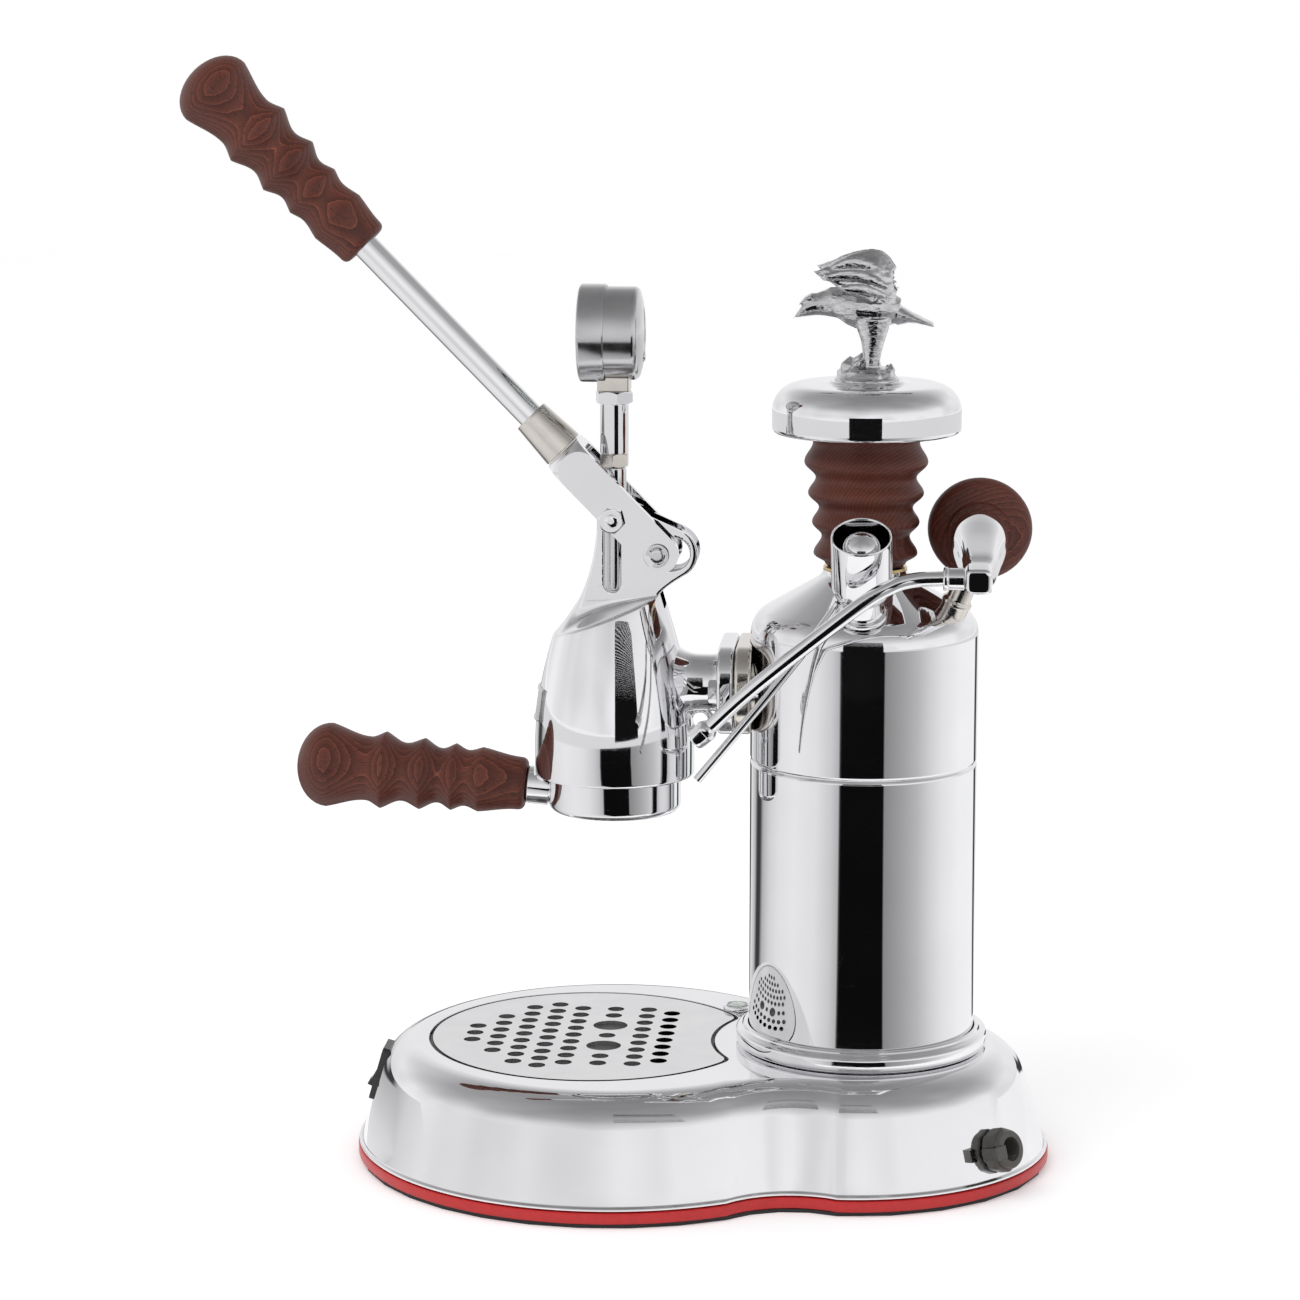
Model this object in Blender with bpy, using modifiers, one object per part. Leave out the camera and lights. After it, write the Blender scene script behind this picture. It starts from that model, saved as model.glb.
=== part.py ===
"""Lever espresso machine, 290 mm long at the base, standing on Z = 0.

The operator stands at -X. The lobed base carries the drip tray in front and
the boiler behind. The group hangs on the boiler's front flange, and the fork
of the lever straddles its two slotted ears.
"""

import math

import bmesh
import bpy
from mathutils import Matrix, Vector

# Common values
gap = 0.0003
overrun = 0.002
sheet = 0.0012
up = Vector((0, 0, 1))
front = Vector((-1, 0, 0))
right = Vector((0, -1, 0))
large_steps = 24
medium_steps = 20
small_steps = 14
tiny_steps = 10

# Base, seen from above as two lobes with a drawn-in waist
front_lobe_x = -0.0379
front_lobe_radius = 0.1068
rear_lobe_x = 0.0612
rear_lobe_radius = 0.0836
crease_front_x = 0.0160
crease_rear_x = 0.0600
waist_share = 0.74906
waist_half_width = front_lobe_radius * waist_share
crease_front_lean_share = -0.09
crease_rear_lean_share = 0.06
waist_inset_share = 0.873
plate_thickness = 0.0015
plate_inset = 0.0010
trim_height = 0.0048
trim_width = 0.0060
lip_height = 0.0014
lip_width = 0.0014
wall_tilt = math.radians(16.5)
shoulder_radius = 0.0170
plateau_height = 0.0496

# Drip tray and grille
grille_x = -0.0465
grille_radius_share = 0.62734
grille_radius = front_lobe_radius * grille_radius_share
grille_bite_share = 1.2
grille_thickness = 0.0015
grille_corner_radius = 0.0050
tray_clearance = 0.0016
ledge_width = 0.0032
tray_flange = 0.0010
tray_depth = 0.0230
tray_draft = 0.0040
hole_pitch_share = 0.15552
hole_pitch = grille_radius * hole_pitch_share
hole_share = 0.6815
hole_diameter = hole_pitch * hole_share
finger_hole_share = 1.392
finger_hole_diameter = hole_pitch * finger_hole_share
wide_step_share = 1.362
first_column_share = 0.741
first_column_x = grille_x - grille_radius * first_column_share

# Power switch, pilot lamp and cable gland
switch_height = 0.0325
switch_length = 0.0195
switch_width = 0.0135
bezel_rim = 0.0018
bezel_proud = 0.0012
rocker_proud = 0.0016
rocker_tilt = math.radians(8)
lamp_x = 0.0118
lamp_y = 0.0461
lamp_diameter = 0.0122
lamp_height = 0.0026
gland_height = 0.0188
gland_turn = math.radians(-39)
gland_diameter = 0.0185
gland_length = 0.0090
gland_bore = 0.0085

# Boiler
boiler_x = 0.0664
boiler_radius = 0.0468
boiler_wall = 0.0015
collar_radius = 0.0523
collar_height = 0.0078
collar_bead = 0.0022
groove_height = 0.1705
groove_depth = 0.0008
shoulder_start = 0.2235
shoulder_turn_radius = 0.0120
cone_slope = math.radians(30.4)
neck_radius = 0.0172
neck_height = 0.2484
neck_bore_radius = 0.0138
boss_radius = 0.0250
boss_length = 0.0120
boss_bore_radius = 0.0215
nut_width = 0.0110
nut_thickness = 0.0065
element_tube_radius = 0.0035
element_span = 0.0180
element_height = 0.1400

# Sight glass on the side away from the steam tap
sight_turn = math.radians(100)
sight_reach = 0.0600
sight_low = 0.0950
sight_high = 0.1960
sight_stub_radius = 0.0050
sight_barrel_radius = 0.0080
sight_barrel_length = 0.0200
sight_tube_radius = 0.0050
sight_tube_bore = 0.0035

# Filler cap
seal_thickness = 0.0008
cap_flange = 0.0014
plug_length = 0.0110
stud_radius = 0.0050
thread_pitch = 0.0020
disc_radius = 0.0386
disc_height = 0.0201
disc_fillet = 0.0110
disc_bottom = 0.3063
bellows_radii = (0.0233, 0.0218, 0.0253, 0.0206, 0.0237, 0.0192, 0.0220, 0.0180, 0.0213, 0.0166)
bellows_height_shares = (1, 0.93, 0.78, 0.66, 0.54, 0.43, 0.315, 0.21, 0.075, 0)
finial_ring_radius = 0.0158
finial_ring_height = 0.0014
rock_radius = 0.0128
rock_height = 0.0085
eagle_height = 0.0540

# Safety valve, square to the boiler's shoulder
valve_y = -0.0360
valve_tilt = math.radians(30)
valve_neck_radius = 0.0078
valve_seat_radius = 0.0100
valve_seat_height = 0.0025
valve_neck_height = 0.0110
cup_radius = 0.01215
cup_wall = 0.0011
cup_height = 0.0407
valve_cap_radius = 0.0086
valve_bore_radius = 0.0045
ball_radius = 0.0032
ball_travel = 0.0008
seat_share = 0.8
spring_wire = 0.0010
spring_turns = 5
drain_radius = 0.0018
drain_bore_share = 0.55
drain_start_share = 0.62
drain_turn = math.radians(199.3)
drain_bend_x = 0.0383
drain_bend_y = -0.0525
drain_bend_z = 0.2170
drain_end_x = 0.0015
drain_end_y = -0.0575
drain_end_z = 0.1725

# Steam tap and wand
tap_x = 0.1130
tap_block_y = -0.0600
tap_block_z = 0.2560
tap_block_side = 0.0105
tap_rise = math.radians(7)
tap_body_length = 0.0620
tap_body_radius = 0.0120
stub_foot = Vector((0.1020, -0.0150, 0.2345))
stub_radius = 0.0050
spindle_radius = 0.0030
knob_radius = 0.0215
knob_thickness = 0.0180
wand_radius = 0.0030
wand_bore_radius = 0.0016
union_radius = 0.0044
union_length = 0.0085
wand_reach = 0.0930
wand_shares = ((0.10, 0.01, 0.005), (0.20, 0.03, 0.03), (0.35, 0.054, 0.121), (0.77, 0.043, 0.459),
               (1.005, 0.027, 0.682))
nozzle_radius = 0.0042
nozzle_length = 0.0095

# Group
group_x = -0.0368
bell_bottom = 0.1625
bell_radii = (0.0331, 0.0331, 0.0326, 0.0316, 0.0304, 0.0286, 0.0267, 0.0248, 0.0226, 0.0204, 0.0198)
bell_height_shares = (0, 0.16, 0.28, 0.40, 0.50, 0.60, 0.69, 0.78, 0.88, 0.98, 1)
bell_height = 0.0780
bell_edge = 0.0015
roof_front_z = 0.2208
roof_slope = math.radians(21.7)
mouth_radius = 0.0281
lug_groove_radius = 0.0307
ledge_thickness = 0.0025
lug_groove_height = 0.0042
gasket_height = 0.0035
cylinder_radius = 0.0245
sleeve_wall = 0.0017
sleeve_top_share = 0.641
sleeve_top = bell_bottom + bell_height * sleeve_top_share
neck_z = 0.2015
group_neck_radius = 0.0118
water_bore_radius = 0.0050
flange_x = 0.0072
flange_thickness = 0.0067
flange_half_height = 0.0181
flange_half_width = 0.0290
flange_bolt_y = 0.0200
bolt_radius = 0.0026
bolt_head_width = 0.0084
bolt_head_height = 0.0034
eye_radius = 0.0058
eye_bore_radius = 0.0030
eye_thickness = 0.0050

# Ears of the group and the lever's linkage
ear_half_width = 0.0084
ear_half_gap = 0.0062
pin_z = 0.2706
link_length = 0.0236
link_angle = math.radians(37.6)
link_fit_share = 0.984
lever_angle = math.radians(45.7)
lever_swing = math.radians(63)
bolt_slot_half = 0.0034
slot_bottom = 0.2401
ear_top_radius = 0.0072
ear_rear_radius = 0.0101
ear_rear_x = -0.0119
roller_slot_half = 0.0066
roller_slot_end = -0.0051
roller_radius = 0.0060
front_pin_radius = 0.0031
rear_pin_radius = 0.0030
pin_clearance = 0.0002
fork_half_gap = 0.0088
fork_arm = 0.0040
fork_half_width = 0.00815
fork_axis_offset = 0.0040
fork_gap_length = 0.0289
fork_length = 0.0338
front_bolt_width = 0.0096
ferrule_radius = 0.0090
ferrule_end_radius = 0.0075
ferrule_length = 0.0194
rod_radius = 0.0055
grip_start = 0.1500
grip_length = 0.0990
rod_in_grip = 0.0600
ring_radius = 0.00475
ring_thickness = 0.0007

# Grips, from the free end
lever_grip_radii = (0.0166, 0.0126, 0.0152, 0.0115, 0.01405, 0.0108, 0.0127, 0.01105, 0.0126, 0.0110)
lever_grip_shares = (0.12, 0.29, 0.367, 0.468, 0.545, 0.623, 0.688, 0.751, 0.835, 1)
handle_grip_radii = (0.0175, 0.0134, 0.0161, 0.0122, 0.01495, 0.01145, 0.0140, 0.01175, 0.0135, 0.0110)
handle_grip_shares = (0.14, 0.309, 0.376, 0.466, 0.545, 0.622, 0.682, 0.739, 0.80, 1)

# Piston and its rod
piston_rod_radius = 0.0050
piston_height = 0.0130
piston_low = 0.0010
seal_height = 0.0030
seal_depth = 0.0022
screen_thickness = 0.0012

# Pressure gauge on the piston rod
locknut_z = 0.2912
locknut_height = 0.0055
locknut_width = 0.0111
adapter_radius = 0.00585
adapter_height = 0.0206
upper_nut_width = 0.0140
upper_nut_height = 0.0050
gauge_z = 0.3459
gauge_front_x = -0.0508
gauge_back_x = -0.0242
gauge_radius = 0.0190
gauge_wall = 0.0012
bezel_radius = 0.0200
bezel_width = 0.0110
stem_side = 0.0130
dial_depth = 0.0068
glass_thickness = 0.0012
pointer_length = 0.0130
pointer_width = 0.0014

# Portafilter
filter_radius = 0.0275
filter_bottom = 0.1475
filter_wall = 0.0030
filter_edge = 0.0035
lug_reach = 0.0024
lug_half_angle = math.radians(24)
basket_wall = 0.0006
basket_depth = 0.0185
basket_taper_share = 0.94
bar_radius = 0.0079
bar_end_radius = 0.0072
handle_grip_gap_x = -0.0734
handle_rise = math.radians(4.7)
handle_axis_z = 0.1571
handle_grip_length = 0.0965
stud_length = 0.0300

for old in list(bpy.data.objects):
    bpy.data.objects.remove(old)

parts = bpy.data.collections.new("espresso_machine")
cutters = bpy.data.collections.new("cutters")
bpy.context.scene.collection.children.link(parts)
bpy.context.scene.collection.children.link(cutters)


def material(name, color, metallic, roughness):
    """A Principled material with one plain colour."""
    made = bpy.data.materials.new(name)
    made.use_nodes = True
    shader = made.node_tree.nodes["Principled BSDF"]
    shader.inputs["Base Color"].default_value = (*color, 1)
    shader.inputs["Metallic"].default_value = metallic
    shader.inputs["Roughness"].default_value = roughness
    made.diffuse_color = (*color, 1)
    return made


chrome = material("chrome", (0.80, 0.80, 0.82), 1, 0.08)
nickel = material("nickel", (0.72, 0.67, 0.60), 1, 0.2)
brass = material("brass", (0.78, 0.57, 0.27), 1, 0.3)
steel = material("steel", (0.62, 0.62, 0.64), 1, 0.3)
wood = material("wood", (0.16, 0.05, 0.025), 0, 0.4)
red_rubber = material("red_rubber", (0.55, 0.02, 0.02), 0, 0.5)
black_rubber = material("black_rubber", (0.02, 0.02, 0.02), 0, 0.7)
black_plastic = material("black_plastic", (0.02, 0.02, 0.02), 0, 0.3)
grey_plastic = material("grey_plastic", (0.07, 0.07, 0.08), 0, 0.4)
glass = material("glass", (0.9, 0.95, 0.95), 0, 0.03)
white_enamel = material("white_enamel", (0.9, 0.9, 0.88), 0, 0.4)


def add_object(name, mesh, look):
    """Put a mesh in the parts collection, or among the cutters when it has no material."""
    made = bpy.data.objects.new(name, mesh)
    if look is None:
        cutters.objects.link(made)
        made.hide_render = True
        made.display_type = "WIRE"
    else:
        parts.objects.link(made)
        mesh.materials.clear()
        mesh.materials.append(look)
    return made


def bake(piece):
    """Replace a piece by its evaluated mesh, welded and shaded by angle."""
    bpy.context.view_layer.update()
    graph = bpy.context.evaluated_depsgraph_get()
    mesh = bpy.data.meshes.new_from_object(piece.evaluated_get(graph))
    cage = bmesh.new()
    cage.from_mesh(mesh)
    bmesh.ops.remove_doubles(cage, verts=cage.verts, dist=gap / 100)
    cage.to_mesh(mesh)
    cage.free()
    mesh.shade_smooth()
    mesh.set_sharp_from_angle(angle=math.radians(35))
    if piece.type == "MESH":
        piece.modifiers.clear()
        piece.data = mesh
        return piece
    look = piece.data.materials[0] if piece.data.materials else None
    made = add_object(piece.name + "_mesh", mesh, look)
    made.matrix_world = piece.matrix_world
    name = piece.name
    bpy.data.objects.remove(piece)
    made.name = name
    return made


def combine(piece, others, operation="DIFFERENCE"):
    """Cut the others out of a piece, or join them to it."""
    for other in others:
        step = piece.modifiers.new(operation.lower(), "BOOLEAN")
        step.operation = operation
        step.solver = "EXACT"
        step.object = other
    return bake(piece)


def place(piece, at, axis=up, roll=0.0):
    """Set a piece down at a point with its local Z along an axis."""
    turn = Vector(axis).to_track_quat("Z", "Y").to_matrix() if axis != up else Matrix.Identity(3)
    spin = Matrix.Rotation(roll, 3, "Z")
    piece.matrix_world = Matrix.Translation(at) @ (turn @ spin).to_4x4()
    return piece


def hang(piece, holder):
    """Parent a piece to a holder without moving it."""
    bpy.context.view_layer.update()
    piece.parent = holder
    piece.matrix_parent_inverse = holder.matrix_world.inverted()
    return piece


def turned(name, profile, look, at=(0, 0, 0), axis=up, steps=small_steps):
    """A turned piece. The profile runs down the outer side, then up the bore if it has one."""
    solid = abs(profile[0][0]) < gap / 10 and abs(profile[-1][0]) < gap / 10
    mesh = bpy.data.meshes.new(name)
    count = len(profile)
    edges = [(i, (i + 1) % count) for i in range(count - 1 if solid else count)]
    mesh.from_pydata([(r, 0, z) for r, z in profile], edges, [])
    piece = add_object(name, mesh, look)
    screw = piece.modifiers.new("turn", "SCREW")
    screw.steps = steps
    screw.render_steps = steps
    screw.use_merge_vertices = True
    screw.merge_threshold = gap / 100
    place(piece, at, axis)
    return bake(piece)


def ring(name, outer, inner, bottom, top, look, at=(0, 0, 0), axis=up, steps=small_steps):
    """A plain ring or washer between two heights."""
    profile = [(outer, top), (outer, bottom), (inner, bottom), (inner, top)]
    return turned(name, profile, look, at, axis, steps)


def bar(name, radius, bottom, top, look=None, at=(0, 0, 0), axis=up, steps=small_steps):
    """A plain round bar between two heights."""
    profile = [(0, top), (radius, top), (radius, bottom), (0, bottom)]
    return turned(name, profile, look, at, axis, steps)


def block(name, size, look=None, at=(0, 0, 0), axis=up, roll=0.0):
    """A box by its full size and centre."""
    mesh = bpy.data.meshes.new(name)
    cage = bmesh.new()
    bmesh.ops.create_cube(cage, size=1)
    bmesh.ops.scale(cage, vec=size, verts=cage.verts)
    cage.to_mesh(mesh)
    cage.free()
    return place(add_object(name, mesh, look), at, axis, roll)


def hexagon(name, width, bottom, top, look=None, at=(0, 0, 0), axis=up, sides=6):
    """A prism with flats a given width apart."""
    radius = width / 2 / math.cos(math.pi / sides)
    outline = [(radius * math.cos(a), radius * math.sin(a)) for a in spread(0, 2 * math.pi, sides)[:-1]]
    return flat(name, [outline], bottom, top, look, at, axis)


def flat(name, outlines, bottom, top, look=None, at=(0, 0, 0), axis=up, roll=0.0):
    """A flat piece with an outer outline and holes, from one height to another."""
    curve = bpy.data.curves.new(name, "CURVE")
    curve.dimensions = "2D"
    curve.fill_mode = "BOTH"
    curve.extrude = (top - bottom) / 2
    for outline in outlines:
        spline = curve.splines.new("POLY")
        spline.points.add(len(outline) - 1)
        for point, (x, y) in zip(spline.points, outline):
            point.co = (x, y, 0, 1)
        spline.use_cyclic_u = True
    if look is not None:
        curve.materials.append(look)
    piece = bpy.data.objects.new(name, curve)
    (cutters if look is None else parts).objects.link(piece)
    place(piece, at, axis, roll)
    piece.matrix_world = piece.matrix_world @ Matrix.Translation((0, 0, (top + bottom) / 2))
    return bake(piece)


def upright(name, outlines, half, look=None):
    """A flat piece whose outline is drawn in X and Z, between two sides at plus and minus half."""
    piece = flat(name, outlines, -half, half, look)
    piece.matrix_world = Matrix.Rotation(math.pi / 2, 4, "X")
    return piece


def pipe(name, route, radius, look=None, sides=2, bore=0.0):
    """A tube along a route, with filled ends and an optional bore."""
    curve = bpy.data.curves.new(name, "CURVE")
    curve.dimensions = "3D"
    curve.bevel_depth = radius
    curve.bevel_resolution = sides
    curve.use_fill_caps = True
    spline = curve.splines.new("POLY")
    spline.points.add(len(route) - 1)
    for point, place_at in zip(spline.points, route):
        point.co = (*place_at, 1)
    if look is not None:
        curve.materials.append(look)
    piece = bpy.data.objects.new(name, curve)
    (cutters if look is None else parts).objects.link(piece)
    piece = bake(piece)
    if bore:
        first = Vector(route[0]) * 2 - Vector(route[1])
        last = Vector(route[-1]) * 2 - Vector(route[-2])
        inside = pipe(name + "_bore", [first, *route[1:-1], last], bore, None, 1)
        piece = combine(piece, [inside])
    return piece


def loft(name, rings, look=None, top=True, bottom=True):
    """A skin over closed rings of equal point counts, listed from bottom to top."""
    mesh = bpy.data.meshes.new(name)
    cage = bmesh.new()
    rows = [[cage.verts.new(point) for point in row] for row in rings]
    count = len(rows[0])
    for low, high in zip(rows, rows[1:]):
        for i in range(count):
            j = (i + 1) % count
            cage.faces.new((low[i], low[j], high[j], high[i]))
    if bottom:
        cage.faces.new(rows[0][::-1])
    if top:
        cage.faces.new(rows[-1])
    cage.to_mesh(mesh)
    cage.free()
    return add_object(name, mesh, look)


def spread(start, end, steps):
    """Evenly spaced values with both ends."""
    return [start + (end - start) * i / steps for i in range(steps + 1)]


def arc(center, radius, start, end, steps):
    """Points along an arc, with angles from +X."""
    x, y = center
    return [(x + radius * math.cos(a), y + radius * math.sin(a)) for a in spread(start, end, steps)]


def arc_through(first, middle, last, steps):
    """Points along the circle through three points, from the first to the last."""
    a, b, c = (complex(*p) for p in (first, middle, last))
    w = (c - a) / (b - a)
    center = a + (b - a) * (w - abs(w) ** 2) / (w - w.conjugate())
    begin = math.atan2((a - center).imag, (a - center).real)
    sweep = math.atan2(((c - center) / (a - center)).imag, ((c - center) / (a - center)).real)
    return arc((center.real, center.imag), abs(a - center), begin, begin + sweep, steps)


def smooth_route(points, steps):
    """A smooth line through hand-chosen points."""
    points = [Vector(p) for p in points]
    ends = [points[0] * 2 - points[1], *points, points[-1] * 2 - points[-2]]
    route = []
    for a, b, c, d in zip(ends, ends[1:], ends[2:], ends[3:]):
        for i in range(steps):
            t = i / steps
            route.append(0.5 * (2 * b + (c - a) * t + (2 * a - 5 * b + 4 * c - d) * t * t
                                + (3 * b - a - 3 * c + d) * t ** 3))
    return route + [points[-1]]


def waves(radii, heights, steps):
    """A profile that swells and narrows through crests and valleys, in (radius, height) pairs."""
    profile = []
    for r0, h0, r1, h1 in zip(radii, heights, radii[1:], heights[1:]):
        for i in range(steps):
            ease = (1 - math.cos(math.pi * i / steps)) / 2
            profile.append((r0 + (r1 - r0) * ease, h0 + (h1 - h0) * i / steps))
    return profile + [(radii[-1], heights[-1])]


def grip(name, radii, shares, length, bore, bore_depth, at, axis):
    """A turned wooden grip. Its free end is at the far end of the axis."""
    heights = [length * (1 - s) for s in shares]
    knob, knob_height = radii[0], heights[0]
    dome = [(knob * math.cos(a), knob_height + (length - knob_height) * math.sin(a))
            for a in spread(math.pi / 2, 0, 4)]
    dome[0] = (0, length)
    profile = dome[:-1] + waves(radii, heights, 2)
    profile += [(bore, 0), (bore, bore_depth), (0, bore_depth)]
    return turned(name, profile, wood, at, axis, small_steps)


# Outlines of the base and of the grille

def base_outline(inset, height):
    """The two-lobed outline, drawn in by an inset, as points at one height."""
    front_radius = front_lobe_radius - inset
    rear_radius = rear_lobe_radius - inset
    front_x = crease_front_x + crease_front_lean_share * inset
    rear_x = crease_rear_x + crease_rear_lean_share * inset
    half = waist_half_width - waist_inset_share * inset
    front_angle = math.acos((front_x - front_lobe_x) / front_radius)
    rear_angle = math.acos((rear_x - rear_lobe_x) / rear_radius)
    front_arc = arc((front_lobe_x, 0), front_radius, front_angle, 2 * math.pi - front_angle, 22)
    rear_arc = arc((rear_lobe_x, 0), rear_radius, -rear_angle, rear_angle, 12)
    near = arc_through(front_arc[-1], ((front_x + rear_x) / 2, -half), rear_arc[0], 4)
    far = [(x, -y) for x, y in reversed(near)]
    return [(x, y, height) for x, y in front_arc + near[1:-1] + rear_arc + far[1:-1]]


def plan(inset):
    """The base's outline as a flat drawing."""
    return [point[:2] for point in base_outline(inset, 0)]


def grille_outline(growth):
    """A circle bitten by an arc round the boiler, with rounded corners."""
    bite_radius = collar_radius * grille_bite_share - growth
    radius = grille_radius + growth
    apart = boiler_x - grille_x
    along = (apart ** 2 + radius ** 2 - bite_radius ** 2) / (2 * apart)
    corner = math.acos(along / radius)
    bite = math.asin(radius * math.sin(corner) / bite_radius)
    trim = grille_corner_radius / radius
    inner_trim = grille_corner_radius / bite_radius
    outer = arc((grille_x, 0), radius, corner + trim, 2 * math.pi - corner - trim, 24)
    inner = arc((boiler_x, 0), bite_radius, math.pi + bite - inner_trim, math.pi - bite + inner_trim, 5)
    tip = Vector((grille_x + along, radius * math.sin(corner)))

    def corner_points(begin, point, end):
        begin, end = Vector(begin), Vector(end)
        return [tuple(begin * (1 - t) ** 2 + point * 2 * t * (1 - t) + end * t * t) for t in (0.33, 0.67)]

    near = corner_points(outer[-1], Vector((tip.x, -tip.y)), inner[0])
    far = corner_points(inner[-1], tip, outer[0])
    return outer + near + inner + far


trim_bottom = plate_thickness + gap
trim_top = trim_bottom + trim_height
shell_bottom = trim_top + gap
wall_foot = shell_bottom + lip_height
arc_start_z = plateau_height - shoulder_radius * (1 - math.sin(wall_tilt))
arc_start_inset = lip_width + (arc_start_z - wall_foot) * math.tan(wall_tilt)
plateau_inset = arc_start_inset + shoulder_radius * math.cos(wall_tilt)
ledge_top = plateau_height - grille_thickness - tray_flange - 2 * gap


def wall_inset(height):
    """How far the base's sloping wall stands in from its foot at a height."""
    return lip_width + (height - wall_foot) * math.tan(wall_tilt)


def wall_frame(center_x, radius, height, turn):
    """Point and outward direction on the wall of one lobe."""
    reach = radius - wall_inset(height)
    out = Vector((math.cos(turn), math.sin(turn), 0))
    normal = (out * math.cos(wall_tilt) + up * math.sin(wall_tilt)).normalized()
    return Vector((center_x, 0, height)) + out * reach, normal


def build_base():
    """The pressed shell with its recess, the red trim and the bottom plate."""
    shoulder = [(plateau_inset - shoulder_radius * math.cos(a), plateau_height - shoulder_radius
                 + shoulder_radius * math.sin(a)) for a in spread(wall_tilt, math.pi / 2, 4)]
    levels = [(0, shell_bottom), (0, wall_foot - lip_height / 4), (lip_width, wall_foot)] + shoulder
    shell = loft("base_shell", [base_outline(i, z) for i, z in levels], chrome, bottom=False)
    wall = shell.modifiers.new("sheet", "SOLIDIFY")
    wall.thickness = sheet
    wall.offset = -1
    wall.use_even_offset = True
    bake(shell)
    recess = grille_outline(tray_clearance)
    hole = grille_outline(tray_clearance - ledge_width)
    opening = flat("recess_cut", [recess], plateau_height - 2 * sheet, plateau_height + overrun)
    combine(shell, [opening])
    skirt = grille_outline(tray_clearance + sheet)
    ledge = flat("recess_ledge", [skirt, hole], ledge_top - sheet, ledge_top)
    rim = flat("recess_rim", [skirt, recess], ledge_top - sheet / 2, plateau_height - sheet / 4)
    combine(ledge, [rim], "UNION")
    combine(shell, [ledge], "UNION")
    holes = [bar("boiler_hole", boss_radius + gap, ledge_top, plateau_height + overrun,
                 at=(boiler_x, 0, 0), steps=large_steps),
             bar("lamp_hole", lamp_diameter / 3 + gap, ledge_top, plateau_height + overrun,
                 at=(lamp_x, lamp_y, 0))]
    point, normal = wall_frame(front_lobe_x, front_lobe_radius, switch_height, math.pi)
    size = (switch_width + 2 * gap, switch_length + 2 * gap, switch_width)
    holes.append(block("switch_hole", size, None, point, normal))
    point, normal = wall_frame(rear_lobe_x, rear_lobe_radius, gland_height, gland_turn)
    holes.append(bar("gland_hole", gland_diameter / 3 + gap, -4 * sheet, 4 * sheet, at=point, axis=normal))
    combine(shell, holes)
    flat("base_trim", [plan(-gap), plan(trim_width)], trim_bottom, trim_top, red_rubber)
    flat("bottom_plate", [plan(plate_inset)], 0, plate_thickness, black_rubber)


def hole_places():
    """Centres and sizes of the grille's holes."""
    columns = [(0, (-1, 0, 1)), (1, (-2.5, -1.5, -0.5, 0.5, 1.5, 2.5)), (2, range(-4, 5)),
               (3, [k + 0.5 for k in range(-5, 5)]), (4, range(-4, 5)),
               (4 + wide_step_share, (-4, -3, 0, 3, 4)), (4 + 2 * wide_step_share, range(-4, 5)),
               (5 + 2 * wide_step_share, [k + 0.5 for k in range(-4, 4)])]
    small = [(first_column_x + c * hole_pitch, r * hole_pitch) for c, rows in columns for r in rows]
    middle = first_column_x + (4 + wide_step_share) * hole_pitch
    large = [(middle, side * 1.5 * hole_pitch) for side in (-1, 1)]
    return small, large


def build_tray():
    """The drip tray on the recess's ledge, and the pierced grille on the tray."""
    small, large = hole_places()
    outlines = [grille_outline(0)]
    outlines += [arc(c, hole_diameter / 2, 0, 2 * math.pi, 8)[:-1] for c in small]
    outlines += [arc(c, finger_hole_diameter / 2, 0, 2 * math.pi, 16)[:-1] for c in large]
    flat("drip_grille", outlines, plateau_height - grille_thickness, plateau_height, steel)
    flange_z = ledge_top + gap
    inner = tray_clearance - ledge_width - gap - tray_flange
    levels = [(tray_clearance - gap, flange_z + tray_flange), (inner, flange_z + tray_flange),
              (inner - tray_draft, flange_z - tray_depth)]
    rings = [[(x, y, z) for x, y in grille_outline(g)] for g, z in reversed(levels)]
    tray = loft("drip_tray", rings, steel, top=False)
    tray.data.flip_normals()
    wall = tray.modifiers.new("sheet", "SOLIDIFY")
    wall.thickness = tray_flange
    wall.offset = -1
    wall.use_even_offset = True
    bake(tray)


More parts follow.
